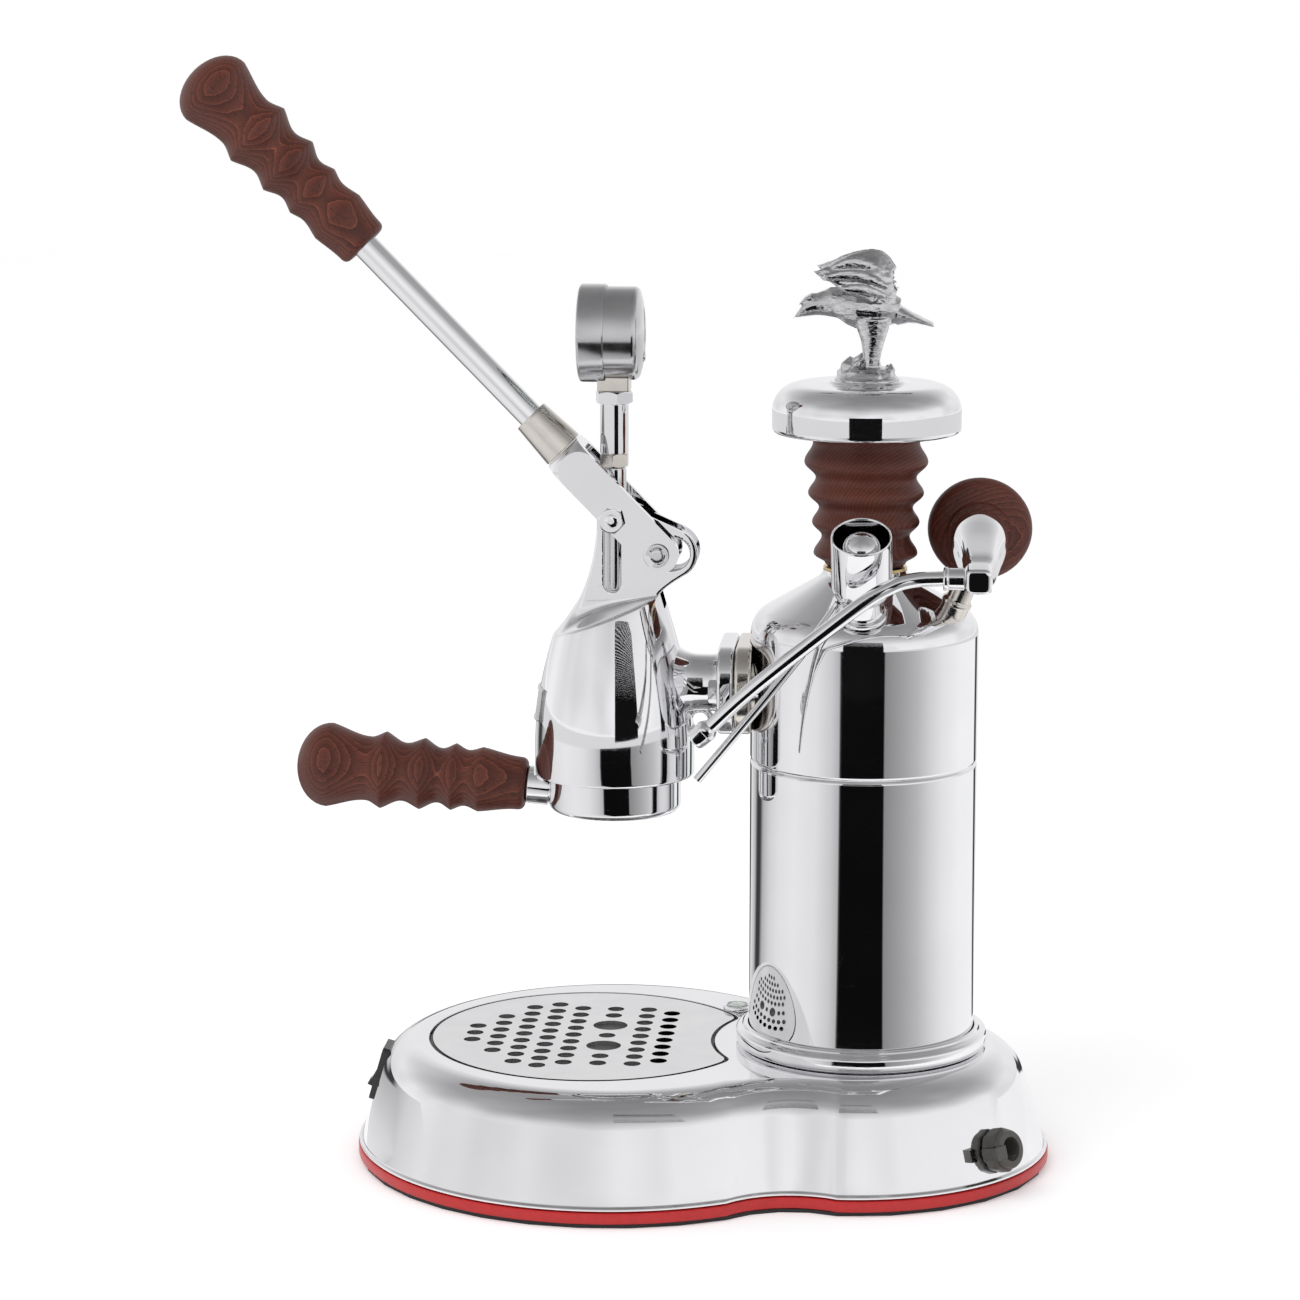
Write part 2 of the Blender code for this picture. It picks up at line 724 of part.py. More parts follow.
def build_base_fittings():
    """Power switch on the front wall, pilot lamp on top, cable gland at the rear."""
    point, normal = wall_frame(front_lobe_x, front_lobe_radius, switch_height, math.pi)
    frame_size = (switch_width + 2 * bezel_rim, switch_length + 2 * bezel_rim, bezel_proud)
    body = block("switch_body", frame_size, black_plastic, point + normal * (bezel_proud / 2 + gap), normal)
    case_depth = switch_width
    case = block("switch_case", (switch_width, switch_length, case_depth), None,
                 point - normal * (case_depth / 2 - bezel_proud), normal)
    combine(body, [case], "UNION")
    pocket = (switch_width - 2 * bezel_rim, switch_length - 2 * bezel_rim, case_depth)
    hollow = block("switch_pocket", pocket, None, point + normal * (2 * bezel_proud - case_depth / 4), normal)
    combine(body, [hollow])
    rocker_size = (pocket[0] - 2 * gap, pocket[1] - 4 * gap, case_depth / 2)
    height = bezel_proud + rocker_proud - rocker_size[2] / 2
    rocker = block("power_rocker", rocker_size, black_plastic, point + normal * height, normal)
    half_length = rocker_size[1] / 2
    dish_radius = half_length * 3
    side = Vector((0, 1, 0))
    dish = bar("rocker_dish", dish_radius, -switch_width, switch_width, axis=side, steps=96,
               at=point + normal * (height + rocker_size[2] / 2 - rocker_proud / 2 + dish_radius))
    combine(rocker, [dish])
    bpy.context.view_layer.update()
    rocker.matrix_world = Matrix.Translation(rocker_pivot()) @ Matrix.Rotation(rocker_tilt, 4, "Y") \
        @ Matrix.Translation(-rocker_pivot()) @ rocker.matrix_world

    lens = lamp_diameter / 2
    profile = [(0, lamp_height), (lens * 0.5, lamp_height * 0.9), (lens * 0.8, lamp_height * 0.6),
               (lens, lamp_height * 0.3), (lens, 0), (lens * 2 / 3, 0), (lens * 2 / 3, -4 * sheet),
               (0, -4 * sheet)]
    turned("pilot_lamp", profile, glass, (lamp_x, lamp_y, plateau_height + gap))

    point, normal = wall_frame(rear_lobe_x, rear_lobe_radius, gland_height, gland_turn)
    outer = gland_diameter / 2
    profile = [(outer * 0.85, gland_length), (outer, gland_length * 0.8), (outer, 2 * gap),
               (outer * 2 / 3, 2 * gap), (outer * 2 / 3, -4 * sheet), (gland_bore / 2, -4 * sheet),
               (gland_bore / 2, gland_length)]
    turned("cable_gland", profile, grey_plastic, point, normal, 8)


def rocker_pivot():
    """Centre of the rocker's cross axle."""
    point, normal = wall_frame(front_lobe_x, front_lobe_radius, switch_height, math.pi)
    return point - normal * (switch_width / 8)


def cone_height(radius):
    """Height of the boiler's conical shoulder at a distance from its axis."""
    meet_radius = boiler_radius - shoulder_turn_radius * (1 - math.sin(cone_slope))
    meet_height = shoulder_start + shoulder_turn_radius * math.cos(cone_slope)
    return meet_height + (meet_radius - radius) * math.tan(cone_slope)


def boiler_profile():
    """The boiler's outer line, from the neck down to its foot."""
    foot = plateau_height + gap
    neck_foot = cone_height(neck_radius)
    turn = [(boiler_radius - shoulder_turn_radius * (1 - math.cos(a)),
             shoulder_start + shoulder_turn_radius * math.sin(a))
            for a in spread(math.pi / 2 - cone_slope, 0, 4)]
    groove = [(boiler_radius, groove_height + groove_depth), (boiler_radius - groove_depth, groove_height),
              (boiler_radius, groove_height - groove_depth)]
    return [(neck_radius, neck_height), (neck_radius, neck_foot)] + turn + groove + [(boiler_radius, foot)]


def build_boiler():
    """Boiler shell, its collar, clamping nut and heating element, and the sight glass."""
    foot = plateau_height + gap
    boss_end = foot - boss_length
    outer = boiler_profile()
    inner_top = boiler_radius - boiler_wall - shoulder_turn_radius * (1 - math.sin(cone_slope))
    inner = [(boss_bore_radius, boss_end), (boss_bore_radius, foot + 2 * boiler_wall),
             (boiler_radius - boiler_wall - groove_depth, foot + 2 * boiler_wall),
             (boiler_radius - boiler_wall - groove_depth, shoulder_start),
             (inner_top, cone_height(inner_top) - 2 * boiler_wall),
             (neck_bore_radius, cone_height(neck_bore_radius) - 2 * boiler_wall),
             (neck_bore_radius, neck_height)]
    shell = turned("boiler_shell", outer + [(boss_radius, foot), (boss_radius, boss_end)] + inner,
                   chrome, (boiler_x, 0, 0), steps=large_steps)
    ports = [bar("group_port", water_bore_radius, 0, 4 * boiler_wall,
                 at=(boiler_x - boiler_radius + 2 * boiler_wall, 0, neck_z), axis=front)]
    out = Vector((math.cos(sight_turn), math.sin(sight_turn), 0))
    for height in (sight_low, sight_high):
        ports.append(bar("sight_port", sight_stub_radius + gap, -4 * boiler_wall, 2 * boiler_wall,
                         at=Vector((boiler_x, 0, height)) + out * boiler_radius, axis=out, steps=tiny_steps))
    ports.append(bar("valve_port", valve_bore_radius, -4 * boiler_wall, 2 * boiler_wall,
                     at=valve_foot(), axis=valve_axis(), steps=tiny_steps))
    ports.append(bar("tap_port", stub_radius / 2, -6 * boiler_wall, 4 * boiler_wall,
                     at=stub_foot, axis=stub_head() - stub_foot, steps=tiny_steps))
    combine(shell, ports)

    bead_radius = collar_bead / 2
    base_z = plateau_height + gap
    bead = [(boiler_radius + gap + bead_radius * (1 + math.cos(a)),
             base_z + collar_height + bead_radius * math.sin(a)) for a in spread(math.pi, 0, 4)]
    step = (collar_radius - boiler_radius) / 4
    ring_top = base_z + collar_height
    profile = bead + [(collar_radius - step, ring_top), (collar_radius, ring_top - step),
                      (collar_radius, base_z), (boiler_radius + gap, base_z)]
    turned("boiler_collar", profile, chrome, (boiler_x, 0, 0), steps=large_steps)

    under = plateau_height - sheet - gap
    ring("boiler_nut", boss_radius + nut_width, boss_radius + gap, under - nut_thickness, under, brass,
         (boiler_x, 0, 0), steps=large_steps)

    plug_top = foot + 2 * boiler_wall
    head = boss_end - gap
    profile = [(0, plug_top), (boss_bore_radius - gap, plug_top), (boss_bore_radius - gap, head),
               (boss_radius, head), (boss_radius, head - boiler_wall), (0, head - boiler_wall)]
    element = turned("heating_element", profile, brass, (boiler_x, 0, 0), steps=small_steps)
    bend = arc((0, plug_top + element_height - element_span / 2), element_span / 2, 0, math.pi, 6)
    route = [(element_span / 2, plug_top - boiler_wall)] + bend + [(-element_span / 2, plug_top - boiler_wall)]
    loop = pipe("element_loop", [(boiler_x + x, 0, z) for x, z in route], element_tube_radius)
    pins = [bar("element_pin", element_tube_radius / 2, head - 4 * boiler_wall, head,
                at=(boiler_x + side * element_span / 2, 0, 0), steps=8) for side in (-1, 1)]
    combine(element, [loop, *pins], "UNION")

    for name, height, toward in (("sight_fitting_lower", sight_low, 1), ("sight_fitting_upper", sight_high, -1)):
        middle = Vector((boiler_x, 0, height)) + out * sight_reach
        half = sight_barrel_length / 2
        fitting = bar(name, sight_barrel_radius, -half, half, chrome, middle, up * toward, tiny_steps)
        stub = bar("sight_stub", sight_stub_radius, -sight_reach + boiler_radius - boiler_wall, 0,
                   at=middle, axis=out, steps=tiny_steps)
        shoulder = bar("sight_shoulder", sight_stub_radius * 1.4,
                       -sight_reach + boiler_radius + gap, 0, at=middle, axis=out, steps=6)
        combine(fitting, [stub, shoulder], "UNION")
        socket = bar("sight_socket", sight_tube_radius + gap, 0, half + overrun, at=middle,
                     axis=up * toward, steps=tiny_steps)
        way = bar("sight_way", sight_tube_bore / 2, -sight_reach + boiler_radius - 3 * boiler_wall, 0,
                  at=middle, axis=out, steps=8)
        combine(fitting, [socket, way])
    middle = Vector((boiler_x, 0, 0)) + out * sight_reach
    ring("sight_glass", sight_tube_radius, sight_tube_bore, sight_low + gap, sight_high - gap, glass,
         middle, steps=tiny_steps)


def valve_foot():
    """Point where the safety valve's axis meets the boiler's shoulder."""
    return Vector((boiler_x, valve_y, cone_height(-valve_y)))


def valve_axis():
    """Direction of the safety valve, leaning to the operator's right."""
    return Vector((0, -math.sin(valve_tilt), math.cos(valve_tilt)))


def build_safety_valve():
    """Cup on a threaded neck, with a sprung ball under a domed cap, and the drain tube."""
    foot, axis = valve_foot(), valve_axis()
    floor = valve_neck_height + cup_wall * 2
    profile = [(cup_radius - cup_wall / 2, cup_height), (cup_radius, cup_height - cup_wall / 2),
               (cup_radius, valve_neck_height + cup_wall * 3),
               (cup_radius - cup_wall * 2, valve_neck_height + cup_wall / 2),
               (valve_neck_radius, valve_neck_height), (valve_neck_radius, valve_seat_height),
               (valve_seat_radius, valve_seat_height * 0.8), (valve_seat_radius, gap),
               (ball_radius * seat_share, gap), (ball_radius * seat_share, valve_seat_height),
               (valve_bore_radius, valve_seat_height + ball_radius / 2), (valve_bore_radius, floor),
               (cup_radius - cup_wall, floor), (cup_radius - cup_wall, cup_height)]
    turned("safety_valve_body", profile, chrome, foot, axis, small_steps)
    seat_edge = ball_radius * seat_share
    ball_z = valve_seat_height + math.sqrt((ball_radius + gap) ** 2 - seat_edge ** 2)
    profile = [(ball_radius * math.sin(a), ball_z + ball_radius * math.cos(a)) for a in spread(0, math.pi, 8)]
    profile[0] = (0, ball_z + ball_radius)
    profile[-1] = (0, ball_z - ball_radius)
    turned("safety_valve_ball", profile, steel, foot, axis, tiny_steps)

    dome_base = floor + gap
    dome_center = cup_height - valve_cap_radius
    dome = [(valve_cap_radius * math.sin(a), dome_center + valve_cap_radius * math.cos(a))
            for a in spread(0, math.pi / 2, 5)]
    dome[0] = (0, cup_height)
    hollow = valve_bore_radius
    profile = dome + [(valve_cap_radius, dome_base), (hollow, dome_base), (hollow, dome_center), (0, dome_center)]
    turned("safety_valve_cap", profile, chrome, foot, axis, small_steps)

    coil_radius = valve_bore_radius - spring_wire / 2 - 2 * gap
    coil_low = ball_z + ball_radius + spring_wire / 2 + gap
    coil_high = dome_center - spring_wire / 2 - ball_travel - 0.3 * gap
    turn = place(bpy.data.objects.new("valve_frame", None), foot, axis).matrix_world
    steps = spring_turns * 9
    route = [turn @ Vector((coil_radius * math.cos(2 * math.pi * spring_turns * t),
                            coil_radius * math.sin(2 * math.pi * spring_turns * t),
                            coil_low + (coil_high - coil_low) * t)) for t in spread(0, 1, steps)]
    pipe("safety_valve_spring", route, spring_wire / 2, steel, 0)

    away = Vector((math.cos(drain_turn), math.sin(drain_turn), 0)) * (valve_neck_radius + drain_radius + gap)
    start = foot + axis * (valve_neck_height * drain_start_share) + away
    below = start + front * drain_radius - up * drain_radius * 2
    middle = Vector((drain_bend_x, drain_bend_y, drain_bend_z))
    end = Vector((drain_end_x, drain_end_y, drain_end_z))
    pipe("drain_tube", [start, below, middle, end], drain_radius, nickel, 2, drain_radius * drain_bore_share)


def tap_axis():
    """Direction of the steam tap's spindle, away from the operator's right and rising."""
    return Vector((0, math.cos(tap_rise), math.sin(tap_rise)))


def tap_origin():
    """Centre of the outlet block at the tap's near end."""
    return Vector((tap_x, tap_block_y, tap_block_z))


def stub_head():
    """Point on the tap's axis where the stub from the boiler arrives."""
    return tap_origin() + tap_axis() * (tap_body_length * 0.62)


def build_tap():
    """Tap body on its stub, spindle and wooden knob, union nut, wand and nozzle."""
    origin, axis = tap_origin(), tap_axis()
    half = tap_block_side / 2
    levels = [(-half, half * 0.8), (-half * 0.8, half), (half, half), (half * 2.2, half * 1.25),
              (tap_body_length * 0.5, half * 1.55), (tap_body_length * 0.78, tap_body_radius * 0.95),
              (tap_body_length * 0.9, tap_body_radius), (tap_body_length, tap_body_radius * 0.8)]
    turn = place(bpy.data.objects.new("tap_frame", None), origin, axis).matrix_world
    rings = []
    for index, (z, reach) in enumerate(levels):
        square = 4 - 2 * index / (len(levels) - 1)
        row = []
        for a in spread(0, 2 * math.pi, 16)[:-1]:
            c, s = math.cos(a), math.sin(a)
            stretch = reach / (abs(c) ** square + abs(s) ** square) ** (1 / square)
            row.append(turn @ Vector((stretch * c, stretch * s, z)))
        rings.append(row)
    body = loft("tap_body", rings, chrome)
    head, foot = stub_head(), stub_foot
    down = (head - foot).normalized()
    stub = bar("tap_stub", stub_radius, gap * 2, (head - foot).length, at=foot, axis=down, steps=small_steps)
    base = bar("tap_stub_base", stub_radius * 1.2, gap * 2, stub_radius * 1.4, at=foot, axis=down, steps=6)
    combine(body, [stub, base], "UNION")
    trim_tool = turned("boiler_shape", [(0, neck_height)] + grown(boiler_profile(), gap)
                       + [(0, plateau_height)], None, (boiler_x, 0, 0), steps=large_steps)
    bore = bar("tap_bore", spindle_radius + gap, half, tap_body_length + overrun, at=origin, axis=axis,
               steps=tiny_steps)
    combine(body, [trim_tool, bore])
    spindle_end = tap_body_length + gap
    bar("tap_spindle", spindle_radius, half * 1.5, tap_body_length + knob_thickness * 0.6, steel,
        origin, axis, tiny_steps)
    waist = tap_body_radius * 0.8
    profile = [(0, knob_thickness), (knob_radius * 0.7, knob_thickness * 0.97),
               (knob_radius * 0.94, knob_thickness * 0.85), (knob_radius, knob_thickness * 0.68),
               (knob_radius * 0.96, knob_thickness * 0.5), (knob_radius * 0.74, knob_thickness * 0.34),
               (knob_radius * 0.62, knob_thickness * 0.3), (knob_radius * 0.6, knob_thickness * 0.16),
               (waist * 1.1, knob_thickness * 0.12), (waist, 0), (spindle_radius + gap, 0),
               (spindle_radius + gap, knob_thickness * 0.6 + gap), (0, knob_thickness * 0.6 + gap)]
    turned("tap_knob", profile, wood, origin + axis * spindle_end, axis, small_steps)

    nut_start = origin + front * (half + gap)
    reach = wand_reach
    ring("wand_nut", union_radius, wand_radius + gap, 0, union_length, chrome, nut_start, front, small_steps)
    begin = nut_start + front * (gap * 3)
    clear_of_nut = begin + front * (union_length + gap)
    bends = [clear_of_nut + front * reach * s + right * reach * t - up * reach * u for s, t, u in wand_shares]
    route = [begin] + smooth_route([clear_of_nut, *bends], 3)
    pipe("wand_pipe", route, wand_radius, chrome, 2, wand_bore_radius)
    along = (route[-1] - route[-2]).normalized()
    tip_start = route[-1] - along * nozzle_length * 0.45
    profile = [(nozzle_radius * 0.7, nozzle_length), (nozzle_radius, nozzle_length * 0.85),
               (nozzle_radius, nozzle_length * 0.55), (wand_radius + gap * 3, 0),
               (wand_radius + gap, 0), (wand_radius + gap, nozzle_length * 0.5),
               (wand_bore_radius / 2, nozzle_length * 0.5), (wand_bore_radius / 2, nozzle_length)]
    turned("wand_nozzle", profile, chrome, tip_start, along, tiny_steps)


def grown(profile, by):
    """A turned profile moved outward and up by a small amount."""
    return [(r + by, z + by) for r, z in profile]


def build_cap():
    """Threaded plug with its seal, the ribbed grip, the disc and the eagle on its rock."""
    at = (boiler_x, 0, 0)
    seal_bottom = neck_height + gap
    seal_top = seal_bottom + seal_thickness
    flange_bottom = seal_top + gap
    wood_bottom = flange_bottom + cap_flange + gap
    disc_top = disc_bottom + disc_height
    ring("cap_seal", neck_radius, neck_bore_radius, seal_bottom, seal_top, black_rubber, at, steps=medium_steps)
    stud_top = disc_bottom + disc_height / 2
    thread = neck_bore_radius - 2 * gap
    profile = [(0, stud_top), (stud_radius, stud_top), (stud_radius, flange_bottom + cap_flange),
               (neck_radius, flange_bottom + cap_flange), (neck_radius, flange_bottom),
               (thread, flange_bottom), (thread, flange_bottom - plug_length),
               (0, flange_bottom - plug_length)]
    turned("cap_plug", profile, brass, at, steps=medium_steps)
    bore = stud_radius + gap
    heights = [wood_bottom + (disc_bottom - gap - wood_bottom) * s for s in bellows_height_shares]
    profile = waves(bellows_radii, heights, 2) + [(bore, heights[-1]), (bore, heights[0])]
    turned("cap_grip", profile, wood, at, steps=small_steps)
    fillet = [(disc_radius - disc_fillet * (1 - math.sin(a)), disc_top - disc_fillet * (1 - math.cos(a)))
              for a in spread(0, math.pi / 2, 5)]
    bead_inner = rock_radius + 2 * gap
    bead = finial_ring_radius - bead_inner
    profile = [(0, disc_top), (bead_inner, disc_top),
               (bead_inner + bead * 0.3, disc_top + finial_ring_height),
               (bead_inner + bead * 0.7, disc_top + finial_ring_height), (finial_ring_radius, disc_top)]
    profile += fillet + [(disc_radius, disc_bottom + sheet), (disc_radius - sheet, disc_bottom),
                         (bore, disc_bottom), (bore, stud_top + gap), (0, stud_top + gap)]
    turned("cap_disc", profile, chrome, at, steps=medium_steps)
    build_finial(Vector((boiler_x, 0, disc_top + gap)))


def face_out(piece):
    """Turn the faces of a closed skin outward."""
    cage = bmesh.new()
    cage.from_mesh(piece.data)
    bmesh.ops.recalc_face_normals(cage, faces=cage.faces)
    cage.to_mesh(piece.data)
    cage.free()
    return piece


def build_finial(foot):
    """An eagle with raised wings on a small rock, looking to the front."""
    tall = eagle_height
    rock = [(0, rock_height), (rock_radius * 0.45, rock_height), (rock_radius * 0.8, rock_height * 0.7),
            (rock_radius * 0.85, rock_height * 0.4), (rock_radius, rock_height * 0.15), (rock_radius, 0), (0, 0)]
    finial = turned("cap_finial", rock, chrome, foot, steps=tiny_steps)

    def tapered(name, stations):
        """A limb of oval sections along (x, z, half length, half height, half width) stations."""
        rings = []
        for x, z, half_x, half_z, half_y in stations:
            rings.append([foot + Vector((x * tall + half_x * tall * math.cos(a), half_y * tall * math.sin(a),
                                         z * tall + half_z * tall * math.cos(a)))
                          for a in spread(0, 2 * math.pi, 8)[:-1]])
        return face_out(loft(name, rings))

    body_shares = ((0.05, 0.10, 0.09, 0, 0.09), (0.04, 0.22, 0.14, 0, 0.13), (0.02, 0.40, 0.19, 0.02, 0.17),
                   (-0.04, 0.56, 0.17, 0.06, 0.15), (-0.12, 0.66, 0.10, 0.08, 0.10))
    neck_shares = ((-0.04, 0.56, 0.02, 0.10, 0.10), (-0.18, 0.66, 0.03, 0.09, 0.085),
                   (-0.32, 0.68, 0.02, 0.075, 0.07), (-0.42, 0.66, 0.02, 0.07, 0.06),
                   (-0.50, 0.61, 0.02, 0.035, 0.025), (-0.54, 0.57, 0.01, 0.012, 0.01))
    tail_shares = ((0.06, 0.40, 0.05, 0.09, 0.10), (0.22, 0.42, 0.03, 0.06, 0.10),
                   (0.38, 0.42, 0.02, 0.035, 0.13), (0.50, 0.40, 0.01, 0.025, 0.15))
    limbs = [tapered("eagle_body", body_shares), tapered("eagle_neck", neck_shares),
             tapered("eagle_tail", tail_shares)]
    wing_shares = ((-0.10, 0.58), (-0.16, 0.78), (-0.34, 0.88), (-0.38, 0.97), (-0.10, 1.0), (0.12, 0.98),
                   (0.30, 0.80), (0.40, 0.62), (0.22, 0.66), (0.08, 0.56))
    wing_side_shares = (0.02, 0.075)
    wing_spread_share = 0.42
    for side in (-1, 1):
        rings = []
        for out in wing_side_shares:
            rings.append([foot + Vector((x, side * (out + wing_spread_share * max(z - wing_shares[0][1], 0)), z)) * tall
                          for x, z in wing_shares])
        limbs.append(face_out(loft("eagle_wing", rings)))
    combine(finial, limbs, "UNION")


def rear_pin_place():
    """X and Z of the fork's rear pin."""
    return group_x + link_length * math.cos(link_angle), pin_z - link_length * math.sin(link_angle)


def roof_height(x):
    """Height of the bell's sloping roof."""
    front_edge = group_x - bell_radii[6]
    return roof_front_z + (x - front_edge) * math.tan(roof_slope)


def ear_outline():
    """The ears seen from the side, from the bell's front edge round to its rear."""
    rear_x, rear_z = rear_pin_place()
    top_z = pin_z + bolt_slot_half / 4
    apart = math.hypot(ear_rear_x - group_x, rear_z - top_z)
    lean = math.atan2(rear_z - top_z, ear_rear_x - group_x)
    tangent = lean + math.pi / 2 + math.asin((ear_rear_radius - ear_top_radius) / apart)
    top = arc((group_x, top_z), ear_top_radius, math.radians(170), tangent, 5)
    rear = arc((ear_rear_x, rear_z), ear_rear_radius, tangent, -math.radians(62), 10)
    span = top_z - roof_front_z
    reach = bell_radii[6]
    front_shares = ((0.97, -0.02), (0.90, 0.08), (0.66, 0.26), (0.48, 0.42), (0.34, 0.66), (0.28, 0.86))
    edge = [(group_x - reach * s, roof_front_z + span * h) for s, h in front_shares]
    back = [(group_x + reach * 0.87, rear_z - 0.28 * span), (group_x + reach * 0.76, rear_z - 0.36 * span),
            (group_x + reach * 0.60, roof_front_z)]
    return edge + top + rear + back


def build_group():
    """The group casting with its bell, ears, neck, flange and eye, and what its mouth holds."""
    heights = [bell_bottom + bell_height * s for s in bell_height_shares]
    outer = [(bell_radii[i], heights[i]) for i in range(len(heights) - 1, 0, -1)]
    profile = [(0, heights[-1])] + outer + [(bell_radii[0], bell_bottom + bell_edge),
                                            (bell_radii[0] - bell_edge, bell_bottom), (0, bell_bottom)]
    group = turned("group_casting", profile, chrome, (group_x, 0, 0), steps=large_steps)
    lift = bell_height / 2 / math.cos(roof_slope)
    middle = Vector((group_x, 0, roof_height(group_x)))
    slope_up = Vector((-math.sin(roof_slope), 0, math.cos(roof_slope)))
    roof_cut = block("roof_cut", (2 * bell_height, 2 * bell_height, 2 * lift), None, middle + slope_up * lift, slope_up)
    combine(group, [roof_cut])

    ears = upright("ears", [ear_outline()], ear_half_width)
    center_x = group_x + (bell_radii[9] - bell_radii[6]) / 2
    half_length = (bell_radii[9] + bell_radii[6]) / 2 - bell_edge
    fillet = ear_half_width * 0.8
    rings = []
    for a in spread(0, math.pi / 2, 4):
        grow = fillet * (1 - math.sin(a))
        height = fillet * (1 - math.cos(a))
        row = []
        for angle in spread(0, 2 * math.pi, 22)[:-1]:
            c, s = math.cos(angle), math.sin(angle)
            x_reach = half_length * abs(c) ** 0.35 * math.copysign(1, c)
            y_reach = min(ear_half_width + grow, bell_radii[9]) * math.copysign(abs(s) ** 0.6, s)
            x = center_x + x_reach
            row.append(Vector((x, y_reach, roof_height(x) + height - 2 * gap)))
        rings.append(row)
    sink = [p - up * overrun for p in rings[0]]
    saddle = loft("ear_fillet", [sink] + rings)
    neck = bar("neck", group_neck_radius, group_x + bell_radii[5] * 0.6, flange_x + overrun,
               at=(0, 0, neck_z), axis=-front, steps=medium_steps)
    plate = flange_plate("front_plate", flange_x, flange_thickness)
    eye_x = group_x + bell_radii[4] + eye_radius * 0.9
    eye_z = neck_z - group_neck_radius - eye_bore_radius * 1.35
    eye = bar("eye", eye_radius, -eye_thickness / 2, eye_thickness / 2, at=(eye_x, 0, eye_z), axis=right)
    combine(group, [saddle, ears, neck, plate, eye], "UNION")

    rear_x, rear_z = rear_pin_place()
    slot_left = rear_x - roller_radius - 2 * gap
    slot_right = roller_slot_end
    half = roller_slot_half
    oval = arc((slot_right - half, rear_z), half, -math.pi / 2, math.pi / 2, 8)
    oval += arc((slot_left + half, rear_z), half, math.pi / 2, 3 * math.pi / 2, 8)
    slot_top = pin_z + front_pin_radius + 4 * gap
    straight = arc((group_x, slot_top - bolt_slot_half), bolt_slot_half, 0, math.pi, 6)
    straight += arc((group_x, slot_bottom + bolt_slot_half), bolt_slot_half, math.pi, 2 * math.pi, 6)
    cuts = [upright("roller_slot", [oval], ear_half_width + overrun),
            upright("bolt_slot", [straight], ear_half_width + overrun)]
    gap_bottom = slot_bottom - bolt_slot_half * 2
    gap_size = (3 * bell_radii[0], 2 * ear_half_gap, 2 * (pin_z - gap_bottom))
    cuts.append(block("ear_gap", gap_size, None, (group_x, 0, gap_bottom + gap_size[2] / 2)))
    mouth_top = bell_bottom + ledge_thickness + lug_groove_height
    gasket_top = mouth_top + gasket_height + 2 * gap
    liner = cylinder_radius + sleeve_wall + gap
    profile = [(0, pin_z), (piston_rod_radius + gap, pin_z), (piston_rod_radius + gap, sleeve_top + gap),
               (liner, sleeve_top + gap), (liner, gasket_top), (lug_groove_radius, gasket_top),
               (lug_groove_radius, bell_bottom + ledge_thickness),
               (mouth_radius, bell_bottom + ledge_thickness), (mouth_radius, bell_bottom - overrun),
               (0, bell_bottom - overrun)]
    cuts.append(turned("cylinder_bore", profile, None, (group_x, 0, 0), steps=medium_steps))
    for side in (0, math.pi):
        mid = side + math.pi / 2 - lug_turn()
        wedge = [(0, 0)] + arc((0, 0), lug_groove_radius, mid - lug_half_angle * 1.15,
                               mid + lug_half_angle * 1.15, 6)
        cuts.append(flat("lug_entry", [wedge], bell_bottom - overrun, bell_bottom + ledge_thickness + gap,
                         at=(group_x, 0, 0)))
    cuts.append(bar("water_way", water_bore_radius, group_x + cylinder_radius, flange_x + 2 * flange_thickness,
                    at=(0, 0, neck_z), axis=-front, steps=tiny_steps))
    cuts.append(bar("eye_hole", eye_bore_radius, -eye_thickness, eye_thickness, at=(eye_x, 0, eye_z),
                    axis=right, steps=tiny_steps))
    for side in (-1, 1):
        cuts.append(bar("bolt_hole", bolt_radius + gap, flange_x - overrun, flange_x + 2 * flange_thickness,
                        at=(0, side * flange_bolt_y, neck_z), axis=-front, steps=tiny_steps))
    combine(group, cuts)

    boiler_plate = flange_plate("boiler_flange", flange_x + flange_thickness + gap,
                                flange_thickness + boiler_radius / 5, nickel)
    body = bar("boiler_body", boiler_radius + gap, -flange_half_height * 2, flange_half_height * 2,
               at=(boiler_x, 0, neck_z), steps=large_steps)
    holes = [bar("bolt_hole", bolt_radius + gap, flange_x, flange_x + 2 * flange_thickness,
                 at=(0, side * flange_bolt_y, neck_z), axis=-front, steps=tiny_steps) for side in (-1, 1)]
    way = bar("water_way", water_bore_radius, flange_x, boiler_x, at=(0, 0, neck_z), axis=-front, steps=tiny_steps)
    combine(boiler_plate, [body, way, *holes])

    for name, side in (("flange_bolt_right", -1), ("flange_bolt_left", 1)):
        head_z = flange_x - gap - bolt_head_height
        at = (0, side * flange_bolt_y, neck_z)
        bolt = hexagon(name, bolt_head_width, head_z, flange_x - gap, chrome, at, -front)
        shank = bar("shank", bolt_radius, head_z + bolt_head_height / 2, flange_x + 2 * flange_thickness - gap,
                    at=at, axis=-front, steps=tiny_steps)
        combine(bolt, [shank], "UNION")

    sleeve = cylinder_radius + sleeve_wall
    ring("group_sleeve", sleeve, cylinder_radius, gasket_top + gap, sleeve_top, brass, (group_x, 0, 0),
         steps=medium_steps)
    ring("group_gasket", lug_groove_radius - gap, cylinder_radius + gap, mouth_top + gap,
         mouth_top + gap + gasket_height, black_rubber, (group_x, 0, 0), steps=medium_steps)
    screen_z = mouth_top + gap
    edge = screen_thickness
    profile = [(0, screen_z + edge), (cylinder_radius - edge, screen_z + edge),
               (cylinder_radius - edge, screen_z + gasket_height),
               (cylinder_radius - gap, screen_z + gasket_height), (cylinder_radius - gap, screen_z), (0, screen_z)]
    turned("shower_screen", profile, steel, (group_x, 0, 0), steps=medium_steps)


